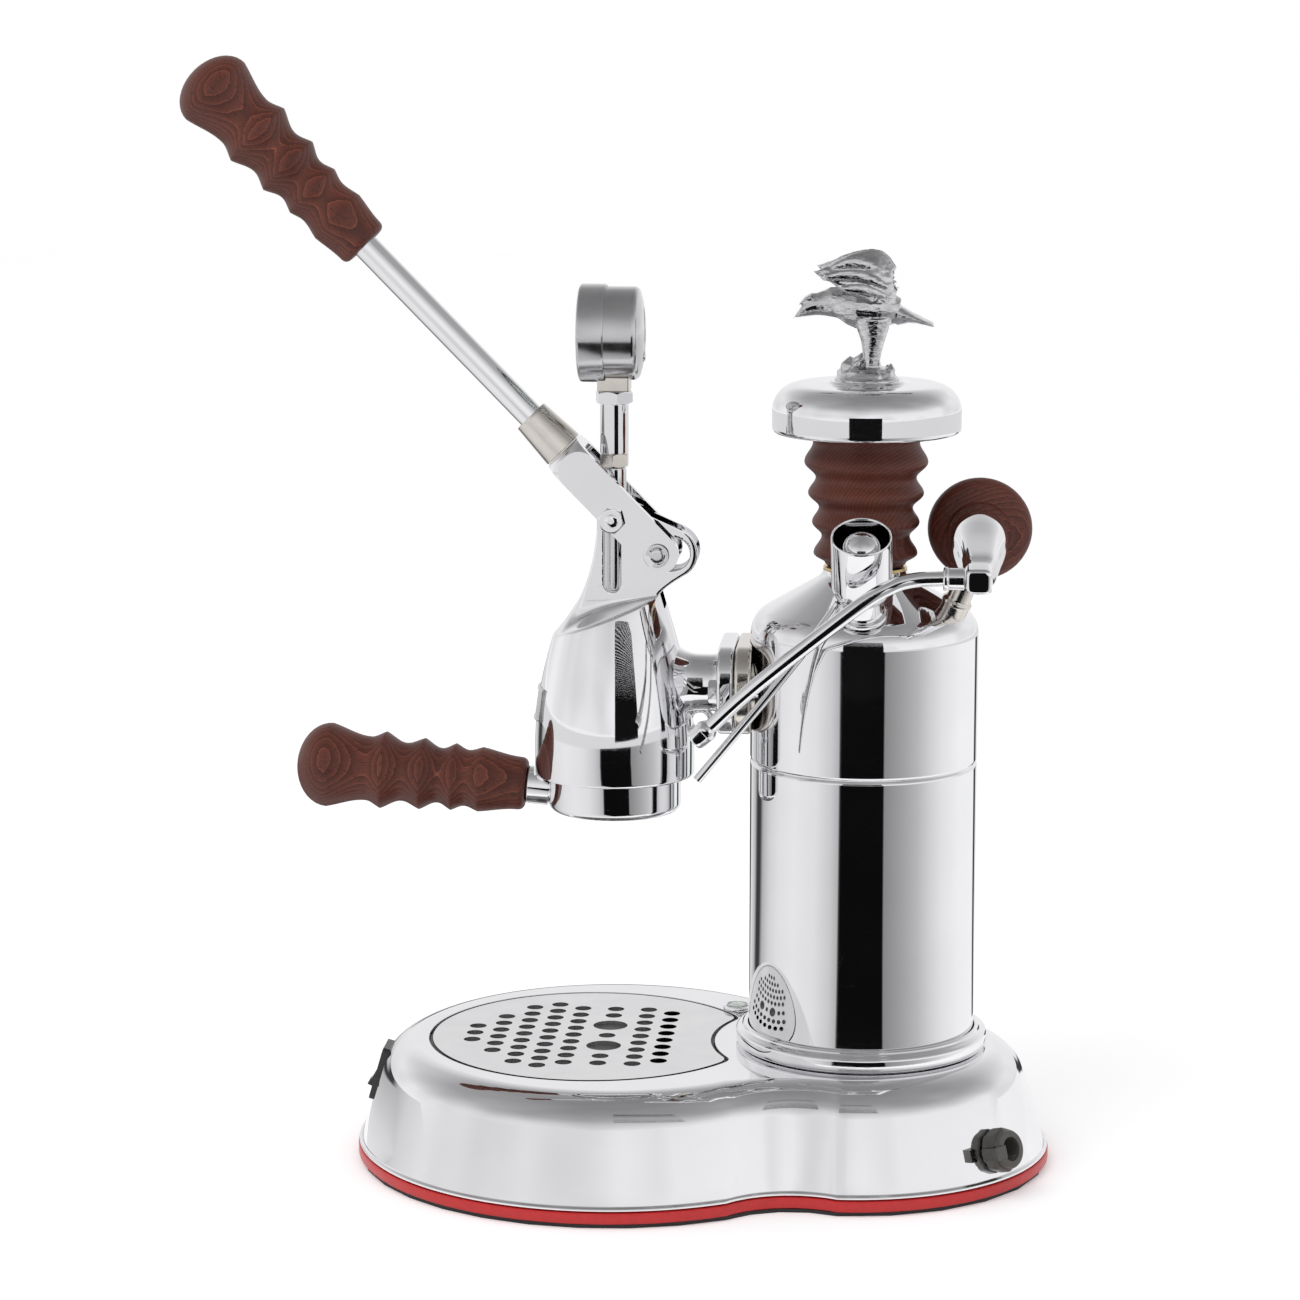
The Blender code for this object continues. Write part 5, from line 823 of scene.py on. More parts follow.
limbs = []
for label, stations in (
        ("torso", ((53, 0, 359, 6.4, 5.6, 12), (57, 0, 358, 7.8, 7, 6),
                   (62, 0, 357, 8.6, 8, 0), (67, 0, 356.6, 8.8, 8.2, 0),
                   (72, 0, 356.6, 8, 7.6, -4), (76, 0, 356.4, 6.6, 6.4, -8),
                   (79, 0, 355.8, 5.2, 5, -12))),
        ("head", ((56, 0, 358.6, 7, 6.2, 12), (52, 0, 359.2, 6.2, 5.4, 8),
                  (48.5, 0, 358.8, 5.1, 4.6, 2), (45.5, 0, 358.4, 4.6, 4.2, -2),
                  (42.4, 0, 358, 4.7, 4, -6), (39.8, 0, 356.8, 4.1, 3.4, -18),
                  (38, 0, 355.2, 2.9, 2.3, -34), (37, 0, 353.7, 1.6, 1.3, -50),
                  (36.7, 0, 352.6, 0.7, 0.6, -60))),
        ("brow", ((44, 0, 361.4, 1.6, 4.4, 0), (40.6, 0, 360.3, 1.2, 3.9, -14),
                  (38.6, 0, 358.4, 0.8, 3, -30))),
        ("tail", ((77, 0, 355.4, 5.6, 5.2, 14), (82, 0, 354.2, 3.4, 6, 18),
                  (86, 0, 352.9, 2.2, 6.8, 20), (90, 0, 351.5, 1.5, 7.2, 20),
                  (93.2, 0, 350.3, 1, 6, 20)))):
    limbs.append(sweep(label, [(*mm(x, y, z, t, w), lean) for x, y, z, t, w, lean in stations]))
wing_stations = (
    (79.2, 3.2, 368.5, 5, 365.5), (77.5, 3, 374, 8, 363.6), (75, 3, 377.6, 10.5, 362.6),
    (72.5, 3, 379.8, 12, 363.4), (70.4, 3, 380.5, 12.8, 362.6), (67.9, 3.2, 380.8, 13.4, 361.4),
    (64.5, 3.8, 380.4, 13.8, 362.2), (60, 5, 379.3, 14.2, 364.2), (55.4, 6.8, 377.3, 14.4, 366.2),
    (51, 8.8, 374.9, 14.2, 368.6), (48.3, 10.6, 373, 13.8, 370.2), (46.8, 12, 371.8, 13.2, 370.9))
for side in (-1, 1):
    legs = ((68.5, 3.9, 353, 7.6, 4.4, 90), (68.6, 3.9, 348.5, 6.4, 4.1, 90),
            (68.7, 3.9, 344.5, 5, 3.7, 90), (68.5, 3.9, 341, 4.2, 3.3, 90),
            (68.3, 3.9, 337.5, 3.6, 2.9, 90), (68, 3.9, 333, 3.2, 2.7, 90))
    limbs.append(sweep("leg", [(*mm(x, y * side, z, t, w), lean) for x, y, z, t, w, lean in legs]))
    root = ((72, 3.4, 358, 6, 3.4, 90), (71.5, 4, 365, 5.4, 3, 90),
            (70.5, 4.4, 371, 5.4, 2.4, 90), (69.5, 4.2, 377, 5, 1.6, 90))
    limbs.append(sweep("wing_root", [(*mm(x, y * side, z, t, w), lean) for x, y, z, t, w, lean in root]))
    for turn in (-30, 0, 30, 180):
        toe = []
        for far, drop, thick in (
            (0, 0.8, 1.9), (3, 0.6, 1.6), (5.4, -0.6, 1.3), (7, -2.4, 0.9), (7.6, -4, 0.4)):
            far = far if turn != 180 else far * 0.6
            a = math.radians(180 + turn * side)
            reach = 66.8 + far * math.cos(a), side * 4.0 + far * math.sin(a), 336.2 + drop
            toe.append((*mm(*reach, thick, thick * 0.9), 90))
        limbs.append(sweep("toe", toe, 10))
    wing = []
    for number, (x, y0, z0, y1, z1) in enumerate(wing_stations):
        thick = 0.75 if number in (0, 11) else 1.3
        jag = 0.7 * math.sin(number * 2.3)
        top = z1 + jag
        ring = []
        for t in [i / 12 for i in range(13)]:
            bow = 3.2 * math.sin(math.pi * t)
            groove = 0.28 * math.sin(t * 26)
            ring.append((x - 0.6 * bow, side * (y0 + (y1 - y0) * t + bow * 0.8 + groove),
                         z0 + (top - z0) * t + bow * 0.5))
        for t in [i / 12 for i in range(12, -1, -1)]:
            bow = 3.2 * math.sin(math.pi * t) - thick
            ring.append((x - 0.6 * bow, side * (y0 + (y1 - y0) * t + bow * 0.8),
                         z0 + (top - z0) * t + bow * 0.5 - 0.3))
        wing.append([mm(*spot) for spot in ring])
    limbs.append(wrap_sheet("wing", wing))
    for start, end, lift in (((75, 9.6, 366.5), (50, 13.6, 370.6), 2.6),
                             ((74, 11.4, 363), (57, 15.4, 366), 1.2),
                             ((73, 7, 372.5), (50, 11.6, 372.8), 3.6)):
        quill = []
        for t in [i / 8 for i in range(9)]:
            x, y, z = (a + (b - a) * t for a, b in zip(start, end))
            thick = 0.9 * math.sin(math.pi * (0.1 + 0.82 * t)) + 0.2
            quill.append((*mm(x, side * (y + 1.6), z + lift * math.sin(math.pi * t), thick * 2.2, thick), 12))
        limbs.append(sweep("quill", quill, 12))
rock = turn_piece("rock", in_mm(
    (13.1, 326.7), (13.1, 328.2), (12.6, 328.7), (12.1, 329), (10.8, 331.2), (8.8, 332.6), (5, 333.4)), 64)
limbs.append(bench_turn(rock, boiler_at))
for number, (x, y, half, top) in enumerate((
    (58.6, -2.5, 4.2, 338), (60, 4, 4.2, 337), (61.5, -7.2, 3.6, 334.5), (65, 8, 3.8, 333.5),
    (75.8, -3.4, 2.5, 335.4), (75, 4.6, 3, 334), (70.6, -8.6, 3.2, 332.6), (56.4, 1.6, 3, 333.4),
    (67, 0, 6.4, 337.4), (71.4, 8.4, 3, 331.8), (65.6, -9.6, 2.6, 331.6), (63, 0, 4.6, 339.4))):
    tall = (top - 328.0) / 2 + 1.5
    drop_selection()
    bpy.ops.mesh.primitive_ico_sphere_add(subdivisions=1, radius=1, location=mm(x, y, top - tall))
    crag = bpy.context.object
    crag.scale = mm(half, half * 0.9, tall)
    crag.rotation_euler = (0.16 * math.sin(number * 3), 0.16 * math.cos(number * 2), number * 1.3)
    limbs.append(crag)
eagle = join_all(limbs)
eagle.name = "eagle_finial_cast"
choose(eagle)
bpy.ops.object.transform_apply(location=True, rotation=True, scale=True)
apply_step(eagle, "REMESH", mode="VOXEL", voxel_size=0.00042)
apply_step(eagle, "SMOOTH", factor=0.5, iterations=3)
cast_chrome, nodes, shader = new_look("cast_chrome")
where = put(nodes, "TexCoord")
plume = put(nodes, "Mapping", {"Rotation": (0, math.radians(-24), 0), "Scale": (230, 420, 760),
                               "Vector": where.outputs["Object"]})
vane = put(nodes, "TexNoise", {"Scale": 1, "Detail": 3, "Distortion": 0.6, "Vector": plume.outputs["Vector"]})
scales = put(nodes, "TexVoronoi", {"Scale": 520, "Vector": where.outputs["Object"]})
relief = put(nodes, "Math", {0: scales.outputs["Distance"], 1: 0.35, 2: vane.outputs["Fac"]},
             operation="MULTIPLY_ADD")
# Painted shade: the chrome's colour is darkened to grey in streaks along the feathers, standing in for shade
# in the grooves between them.
feather_streak_shade = blend(nodes, (0.34, 0.34, 0.35, 1), (0.88, 0.88, 0.89, 1), vane.outputs["Fac"])
feed(shader, {"Metallic": 1, "Base Color": feather_streak_shade,
              "Roughness": spread(nodes, vane.outputs["Fac"], 0.16, 0.06),
              "Normal": bumps(nodes, relief.outputs["Value"], 0.3, 0.0009)})
settle(eagle, "cap", ["cap_finial"], cast_chrome, crisp=75, weighted=False)

# Safety valve: a chromed cup screwed into the cone, with a domed cap over its sprung ball, and a
# thin chromed pipe from its neck, bent so that condensate drips into the tray.
valve_foot = Vector((0.0664, -0.0360, cone_height(0.0360)))
valve_axis = Vector((0, -0.5, math.sqrt(0.75)))
profile = in_mm((4.5, 0.3), (10, 0.3), (10.3, 0.6), (10.3, 1.8), (10, 2.3), (9.2, 2.6), (8.5, 3), (8, 4),
                (8, 9.6), (8.3, 10.3), (9.5, 11), (10.8, 12.1), (11.7, 13.6), (12.1, 15.5), (12.15, 18),
                (12.15, 40), (12, 40.5), (11.7, 40.7), (11.3, 40.5), (11.1, 40), (11.05, 16), (10.4, 13.8),
                (9.2, 13.3), (4.5, 13.3), (4.5, 0.3))
cup = turn_piece("safety_valve_cup", profile, 96, True)
settle(bench_turn(cup, valve_foot, valve_axis), "base", ["safety_valve_body"], chrome, crisp=50)
profile = in_mm((4.6, 13.6), (8.6, 13.6), (8.6, 31)) + arc_line((0, 0.0321), 0.0086, 0, 88, 14)
dome = turn_piece("safety_valve_dome", profile, 96)
settle(bench_turn(dome, valve_foot, valve_axis), "base", ["safety_valve_cap"], chrome, crisp=50)


def bent_tube(name, points, radius, bore, smooth=0):
    """A drawn tube bent along a line of points, with its bore open at both ends."""
    drop_selection()
    bpy.ops.curve.primitive_nurbs_path_add()
    wire = bpy.context.object
    wire.name = name
    line = wire.data
    line.splines.clear()
    spline = line.splines.new("POLY")
    points = [Vector(p) for p in points]
    for _ in range(smooth):
        cut = [points[0]]
        for a, b in zip(points, points[1:]):
            cut += [a * 0.75 + b * 0.25, a * 0.25 + b * 0.75]
        points = cut + [points[-1]]
    spline.points.add(len(points) - 1)
    for point, place in zip(spline.points, points):
        point.co = (*place, 1)
    line.dimensions = "3D"
    line.bevel_depth = radius
    line.bevel_resolution = 10
    line.use_fill_caps = True
    bpy.ops.object.convert(target="MESH")
    pipe = bpy.context.object
    ways = []
    for end, near in ((points[0], points[1]), (points[-1], points[-2])):
        out = (end - near).normalized()
        drop_selection()
        bpy.ops.mesh.primitive_cylinder_add(vertices=24, radius=bore, depth=0.012)
        ways.append(bench_turn(bpy.context.object, end, out))
    fit_together(pipe, ways)
    return pipe


start = valve_foot + valve_axis * 0.0068 + Vector((-1, -0.35, 0)).normalized() * 0.0099
drain_way = [start, start + Vector((-0.0023, 0, -0.0036)), (0.0383, -0.0525, 0.2170),
             (0.0015, -0.0575, 0.1725)]
drain = bent_tube("valve_drain_tube", drain_way, 0.0018, 0.0010, 1)
ease_edges(drain, 0.0002, 2, 50)
settle(drain, "base", ["drain_tube"], chrome, crisp=50)

# Steam tap: a chromed hot stamping that grows from a square outlet block to a round bonnet, on a
# nickel stub from the boiler's shoulder. The spindle carries a turned beech knob.
tap_at = Vector((0.1130, -0.0600, 0.2560))
tap_axis = Vector((0, math.cos(math.radians(7)), math.sin(math.radians(7))))
turn = tap_axis.to_track_quat("Z", "Y").to_matrix().to_4x4()
levels = ((-0.00525, 0.0036, 4.5), (-0.00505, 0.0042, 4.5), (-0.0046, 0.0048, 4.4), (-0.0038, 0.00525, 4.2),
          (0.0046, 0.00525, 4.2), (0.0068, 0.0056, 4.2), (0.0092, 0.0062, 4.2), (0.0112, 0.0068, 4.1),
          (0.0160, 0.0073, 4.0), (0.0240, 0.0080, 3.8), (0.0310, 0.0087, 3.5), (0.0380, 0.0096, 3.1),
          (0.0440, 0.0106, 2.8), (0.0490, 0.0113, 2.5), (0.0535, 0.0118, 2.3), (0.0558, 0.0120, 2.1),
          (0.0585, 0.0119, 2.0), (0.0602, 0.0114, 2.0), (0.0612, 0.0106, 2.0), (0.0617, 0.0096, 2.0),
          (0.0619, 0.0050, 2.0))
rings = []
for z, reach, square in levels:
    ring = []
    for i in range(72):
        a = 2 * math.pi * i / 72
        c, s = math.cos(a), math.sin(a)
        stretch = reach / (abs(c) ** square + abs(s) ** square) ** (1 / square)
        ring.append(Vector((stretch * c, stretch * s, z)))
    rings.append(ring)
tap = wrap_sheet("steam_tap_body", rings)
tap.matrix_world = Matrix.Translation(tap_at) @ turn
settle(tap, "base", ["tap_body"], chrome, crisp=50)
foot = Vector((0.1020, -0.0150, 0.2345))
head = tap_at + tap_axis * 0.0384
stub_way = (head - foot).normalized()
profile = in_mm((5.8, -4), (5.8, 4.6), (6.2, 5), (6.2, 6.2), (5.6, 6.8), (5.1, 7.2), (5, 8))
stub = turn_piece("tap_stub_pipe", profile + [(0.0050, (head - foot).length)], 64)
settle(bench_turn(stub, foot, stub_way), "base", ["tap_body"], nickel, crisp=50)

profile = in_mm((3.4, 0), (9.8, 0), (10.5, 0.4), (10.7, 1.4), (11.2, 2.2), (12.8, 2.6), (13.1, 3.6),
                (13.1, 4.6), (13.5, 5.2), (15, 5.6), (15.7, 6), (18.2, 6.8), (20.3, 8.2), (21.2, 10),
                (21.5, 12), (21.2, 14), (20.2, 15.6), (18.2, 16.8), (15, 17.5), (10, 17.9), (4, 18),
                (0.8, 18))
knob = turn_piece("tap_knob_turned", profile, 128)
knob_at = tap_at + tap_axis * 0.0623
settle(bench_turn(knob, knob_at, tap_axis), "tap_knob", ["tap_knob"],
       stained_beech("beech_tap_knob", knob_at, (1, 0.1, 0.35)), crisp=50)

# Steam wand: a chromed brass union nut lets the bent, chromed tube swing on the tap, and a turned
# nozzle with flats for a spanner and one jet closes its end.
union_at = tap_at + Vector((-0.0056, 0, 0))
profile = in_mm((3.4, 0), (4.2, 0.1), (4.4, 0.4), (4.4, 5.8), (4.2, 6.3), (4.6, 6.6), (4.8, 7), (4.8, 7.8),
                (4.5, 8.3), (3.4, 8.5), (3.4, 0))
union = turn_piece("wand_union", profile, 64, True)
settle(bench_turn(union, union_at, (-1, 0, 0)), "base", ["wand_nut"], chrome, crisp=50)
begin = union_at + Vector((-0.0009, 0, 0))
clear = begin + Vector((-0.0088, 0, 0))
shares = ((0.10, 0.01, 0.005), (0.20, 0.03, 0.03), (0.35, 0.054, 0.121), (0.77, 0.043, 0.459),
          (1.005, 0.027, 0.682))
bends = [clear, *[clear + Vector((-s, -t, -u)) * 0.093 for s, t, u in shares]]
ends = [bends[0] * 2 - bends[1], *bends, bends[-1] * 2 - bends[-2]]
route = [begin]
for a, b, c, d in zip(ends, ends[1:], ends[2:], ends[3:]):
    for i in range(12):
        t = i / 12
        route.append(0.5 * (2 * b + (c - a) * t + (2 * a - 5 * b + 4 * c - d) * t * t
                            + (3 * b - a - 3 * c + d) * t ** 3))
route.append(bends[-1])
wand = bent_tube("steam_wand_tube", route, 0.0030, 0.0016)
settle(wand, "wand", ["wand_pipe"], chrome, crisp=50)
along = (route[-1] - route[-2]).normalized()
tip_at = route[-1] - along * 0.0043
profile = in_mm((3.3, 0), (3.6, 0.3), (4.1, 1.2), (4.5, 2.2), (4.6, 3), (4.3, 3.4))
tip = turn_piece("wand_nozzle_tip", profile + in_mm((4.3, 5), (4.1, 8), (3.6, 9.2), (2.6, 9.5)), 48)
flats = turn_piece("flats", in_mm((4.9, -1), (4.9, 3.3), (4.6, 3.6), (4.4, 10)), 6)
fit_together(tip, [flats], "INTERSECT")
fit_together(tip, [turn_piece("jet", in_mm((0.9, 4), (0.9, 12)), 24)])
ease_edges(tip, 0.0002, 2)
settle(bench_turn(tip, tip_at, along), "wand", ["wand_nozzle"], chrome)

# Group: one chromed bronze casting. A bell covers the cylinder, its sloping roof sweeps up into two
# ears slotted for the lever's bolt and roller, and a neck with a flange carries it on the boiler.
group_x, pin_z, neck_z = -0.0368, 0.2706, 0.2015
group_at = (group_x, 0, 0)
rear_x, rear_z = -0.0181, 0.2562
ear_half, ear_gap = 0.0084, 0.0062
bell_heights = (0.1640, 0.1750, 0.1843, 0.1937, 0.2015, 0.2093, 0.2163, 0.2233, 0.2311, 0.2389, 0.2420)
bell_radii = (0.0332, 0.0331, 0.0326, 0.0316, 0.0304, 0.0286, 0.0267, 0.0248, 0.0226, 0.0204, 0.0196)
bell_fit = np.polynomial.Polynomial.fit(bell_heights, bell_radii, 5)


def bell_radius(z):
    return min(float(bell_fit(z)), 0.0331)


def roof(x):
    return 0.2208 + (x + 0.0635) * math.tan(math.radians(21.7))


def walk(line, share):
    """A point part of the way along a bent line."""
    spans = [math.dist(a, b) for a, b in zip(line, line[1:])]
    left = share * sum(spans)
    for span, a, b in zip(spans, line, line[1:]):
        if left <= span or b == line[-1]:
            t = min(left / span, 1)
            return tuple(p + (q - p) * t for p, q in zip(a, b))
        left -= span


def ear_section(front, rear, nose, heel):
    """A closed section through both ears: straight sides, rounded corners at nose and heel."""
    length = math.dist(front, rear)
    line = [(0, -(ear_half - nose) * i / 6) for i in range(6)]
    line += [(nose - nose * math.cos(math.radians(a)), -(ear_half - nose) - nose * math.sin(math.radians(a)))
             for a in (0, 18, 36, 54, 72)]
    line += [(nose + (length - nose - heel) * i / 30, -ear_half) for i in range(30)]
    line += [(length - heel + heel * math.sin(math.radians(a)),
              -(ear_half - heel) - heel * math.cos(math.radians(a))) for a in (0, 18, 36, 54, 72)]
    line += [(length, -(ear_half - heel) * (1 - i / 6)) for i in range(6)]
    line += [(u, -y) for u, y in [(length, 0)] + line[:0:-1]]
    return [Vector((front[0] + (rear[0] - front[0]) * u / length, y,
                    front[1] + (rear[1] - front[1]) * u / length)) for u, y in line]


front_line = in_mm(
    (-53.3, 233.1), (-50.8, 237.2), (-48.8, 241.5), (-46.7, 247.5), (-45.2, 253.7), (-44, 261),
    (-43.4, 267)) + arc_line((group_x, 0.2711), 0.0066, 180, 62, 12)
rear_line = in_mm((-17.2, 239.8), (-16, 241.2), (-14.1, 242.8), (-10.5, 245.4))
rear_line += arc_line((-0.0119, rear_z), 0.0100, -62, 62, 16)
ear_rings = []
for i in range(33):
    t = i / 32
    nose = 0.0011 + 0.0025 * max(0, 1 - t * 4) ** 1.5
    ear_rings.append(ear_section(walk(front_line, t), walk(rear_line, t), nose, 0.0011))
count = len(ear_rings[0])
turns = []
for i, point in enumerate(ear_rings[0]):
    turn = math.atan2(point.y, point.x - group_x) % (2 * math.pi)
    if turn < math.pi + 0.01 and not (turn > math.pi - 0.01 and i <= count // 2):
        turn += 2 * math.pi
    turns.append(turn)
turns[0] = math.pi
even = [math.pi + 2 * math.pi * i / count for i in range(count)]


def on_bell(turn, z):
    r = bell_radius(z)
    return Vector((group_x + r * math.cos(turn), r * math.sin(turn), z))


ridge = []
for turn in turns:
    z = 0.23
    for _ in range(40):
        z = roof(group_x + bell_radius(z) * math.cos(turn))
    ridge.append(on_bell(turn, z))
rings = []
for r, z in in_mm((31.6, 162.5), (32.2, 162.57), (32.7, 162.8), (33.02, 163.3), (33.1, 164.1)):
    rings.append([Vector((group_x + r * math.cos(a), r * math.sin(a), z)) for a in even])
for j in range(1, 22):
    t = j / 22
    rings.append([on_bell(a + (b - a) * t, 0.1641 + (top.z - 0.0013 - 0.1641) * t)
                  for a, b, top in zip(even, turns, ridge)])
saddle = []
for t in [0.07] + [i / 10 for i in range(1, 10)]:
    ring = []
    for low, high, beyond in zip(ridge, ear_rings[0], ear_rings[1]):
        rise = max(high.z - roof(high.x), 0.0002)
        bend = high - (beyond - high).normalized() * rise * 0.88
        ring.append(low * (1 - t) ** 2 + bend * 2 * t * (1 - t) + high * t * t)
    saddle.append(ring)
shoulder = [on_bell(turn, top.z - 0.0013) for turn, top in zip(turns, ridge)]
rings.append(shoulder)
for t in (0.25, 0.5, 0.75):
    rings.append([a * (1 - t) ** 2 + r * 2 * t * (1 - t) + b * t * t
                  for a, r, b in zip(shoulder, ridge, saddle[0])])
group = wrap_sheet("group_casting_cast", rings + saddle + ear_rings)


def rim_plate(name, half_y, half_z, corner, start, end, edge):
    """A thick flange across X with its rims rounded over."""
    plate = sheet_cut(name, rounded_line(half_y, half_z, corner, 14), 0, end - start)
    ease_edges(plate, edge, 5, 40)
    return bench_turn(plate, (start, 0, neck_z), (1, 0, 0))


flange_shape, bolt_y = (0.0290, 0.0181, 0.0136), 0.02
neck_line = in_mm(
    (15.2, -16), (15.2, -11.2), (14.1, -9.2), (13.1, -7.4), (12.3, -5.2), (11.9, -3), (11.8, 0), (11.8, 4),
    (12.1, 5.6), (12.8, 6.8), (14.2, 7.6), (14.2, 10))
neck = bench_turn(turn_piece("neck", neck_line, 72), (0, 0, neck_z), (1, 0, 0))
eye_line = [(0.0044 + 0.0014 * math.cos(a), 0.0016 * math.sin(a) * 1.5) for a in
            [math.radians(360 * i / 20) for i in range(20)]]
eye = turn_piece("eye", eye_line + eye_line[:1], 48, True)
bench_turn(eye, (-0.0012, 0, 0.1857), (0, -1, 0))
fit_together(group, [neck, rim_plate("plate", *flange_shape, 0.0072, 0.0139, 0.0014), eye], "UNION")


def track(x0, z0, x1, z1, half, grow):
    """Outline of a slot with round ends, in X and Z."""
    lean = math.degrees(math.atan2(z1 - z0, x1 - x0))
    line = arc_line((x1, z1), half + grow, lean - 90, lean + 90, 18)
    return line + arc_line((x0, z0), half + grow, lean + 90, lean + 270, 18)


def slot_tool(name, x0, z0, x1, z1, half, face, ease):
    """A cutter for a slot through both faces, flared so that its rims come out rounded."""
    depths = [(-0.004, ease), (0, ease)]
    depths += [(ease * (1 - math.cos(math.radians(a))), ease * (1 - math.sin(math.radians(a))))
               for a in (22, 45, 67, 90)]
    depths = depths + [(2 * face - d, g) for d, g in depths[::-1]]
    return wrap_sheet(name, [[(x, d - face, z) for x, z in track(x0, z0, x1, z1, half, g)]
                             for d, g in depths])


bolt_slot = slot_tool("bolt_slot", group_x, 0.2435, group_x, 0.2715, 0.0034, ear_half, 0.0007)
roller_slot = slot_tool("roller_slot", rear_x, rear_z, -0.0117, rear_z, 0.0066, ear_half, 0.0007)
between = sheet_cut("between_ears", [(group_x - 0.04, -ear_gap), (group_x + 0.05, -ear_gap),
                                     (group_x + 0.05, ear_gap), (group_x - 0.04, ear_gap)], 0.2333, 0.30)
bore_line = in_mm(
    (28.1, 160), (28.1, 165), (30.7, 165), (30.7, 173.3), (26.5, 173.3), (26.5, 212.8), (5.3, 212.8),
    (5.3, 240))
tools = [between, bolt_slot, roller_slot, bench_turn(turn_piece("bore", bore_line, 96), group_at)]
for side in (-1, 1):
    hole = turn_piece("bolt_hole", in_mm((2.9, 0), (2.9, 20)), 24)
    tools.append(bench_turn(hole, (0.0040, side * bolt_y, neck_z), (1, 0, 0)))
    lug_way = [(0, 0)] + arc_line((0, 0), 0.0307, side * 90 - 50 - 27.6, side * 90 - 50 + 27.6, 16)
    tools.append(bench_turn(sheet_cut("lug_way", lug_way, 0.158, 0.1655), group_at))
fit_together(group, tools)
group.data.attributes.new("bevel_weight_edge", "FLOAT", "EDGE")
cage = bmesh.new()
cage.from_mesh(group.data)
layer = cage.edges.layers.float["bevel_weight_edge"]
for edge in cage.edges:
    if all(abs(abs(v.co.y) - ear_gap) < 0.00002 for v in edge.verts) and edge.calc_face_angle(0) > 0.6:
        edge[layer] = 1
cage.to_mesh(group.data)
cage.free()
apply_step(group, "BEVEL", width=0.0004, segments=2, limit_method="WEIGHT", use_clamp_overlap=True)
settle(group, "base", ["group_casting"], chrome, crisp=32)

# Badge: a plain plate of brushed metal, pressed with a raised rim and bent to the bell's curve. It is
# stuck on and left without any mark.
badge_z = 0.1930
rings = []
for i in range(41):
    a = math.radians(180 - 26 + 52 * i / 40)
    field = 0.6 if 1 < i < 39 else 1.1
    section = ((-6.7, 0.1), (-6.7, 0.9), (-6.5, 1.1), (-5.9, 1.1), (-5.7, field), (5.7, field), (5.9, 1.1),
               (6.5, 1.1), (6.7, 0.9), (6.7, 0.1))
    ring = []
    for up_by, out_by in section:
        z = badge_z + up_by * 0.001
        r = bell_radius(z) + out_by * 0.001
        ring.append((group_x + r * math.cos(a), r * math.sin(a), z))
    rings.append(ring)
badge = wrap_sheet("badge_plain", rings)
badge_metal = metal("brushed_badge", (0.74, 0.74, 0.73), (0.56, 0.56, 0.55), 0.22, 0.36, 200, 0.1)
settle(badge, "base", [], badge_metal, crisp=30)

# Flange on the boiler: a nickelled plate with a spigot to the boiler's wall, hollowed to lie on it,
# and held to the casting's own flange by two hexagon bolts in chrome.


def hex_piece(name, width, height, rim, both=True):
    """A hexagon turned from bar, its corners cut back by a cone at the head, or at both ends."""
    drop_selection()
    reach = width / 2 / math.cos(math.pi / 6)
    bpy.ops.mesh.primitive_cylinder_add(vertices=6, radius=reach, depth=height, location=(0, 0, height / 2))
    nut = bpy.context.object
    nut.name = name
    bpy.ops.object.transform_apply(location=True)
    line = [(width / 2 - rim * 0.4, height), (width / 2, height), (reach + rim * 0.2, height - rim),
            (reach + rim * 0.2, rim if both else 0)]
    line += [(width / 2, 0), (width / 2 - rim * 0.4, 0)] if both else [(width / 2, 0)]
    fit_together(nut, [turn_piece("cone", line[::-1], 64)], "INTERSECT")
    return ease_edges(nut, 0.0002, 2, 25)


plate = rim_plate("boiler_flange_plate", *flange_shape, 0.0142, 0.0212, 0.0016)
spigot = bench_turn(turn_piece("spigot", in_mm((17, 0), (17, 9)), 72), (0.0190, 0, neck_z), (1, 0, 0))
fit_together(plate, [spigot], "UNION")
hollow = bench_turn(turn_piece("boiler_body", in_mm((47.1, 170), (47.1, 240)), 128), boiler_at)
way = bench_turn(turn_piece("water_way", in_mm((5, 0), (5, 30)), 32), (0.0070, 0, neck_z), (1, 0, 0))
fit_together(plate, [hollow, way])
settle(plate, "base", ["boiler_flange"], nickel)
for side, node in ((-1, "flange_bolt_right"), (1, "flange_bolt_left")):
    head = hex_piece(node + "_hex", 0.0084, 0.0034, 0.0007, both=False)
    shank = turn_piece("shank", in_mm((2.6, -17), (2.6, 1)), 24)
    fit_together(head, [shank], "UNION")
    bench_turn(head, (0.0069, side * bolt_y, neck_z), (-1, 0, 0))
    settle(head, "base", [node], chrome)

# Piston rod: ground steel that shows in the ears' slot, cross-drilled for the lever's bolt, with a
# thinner threaded end for the gauge's adapter.
rod_line = in_mm(
    (3.5, 198.4), (3.5, 211.4), (5, 211.4), (5, 284), (4.9, 290), (4.6, 290.9), (3.5, 290.9), (3.5, 301.8),
    (3.2, 302.2))
rod = bench_turn(turn_piece("piston_rod_ground", rod_line, 64), group_at)
cross = turn_piece("cross_hole", in_mm((3.4, -10), (3.4, 10)), 32)
bench_turn(cross, (group_x, 0, pin_z), (0, -1, 0))
fit_together(rod, [cross])
ease_edges(rod, 0.0003, 2, 40)
settle(rod, "piston", ["piston_rod"], steel)

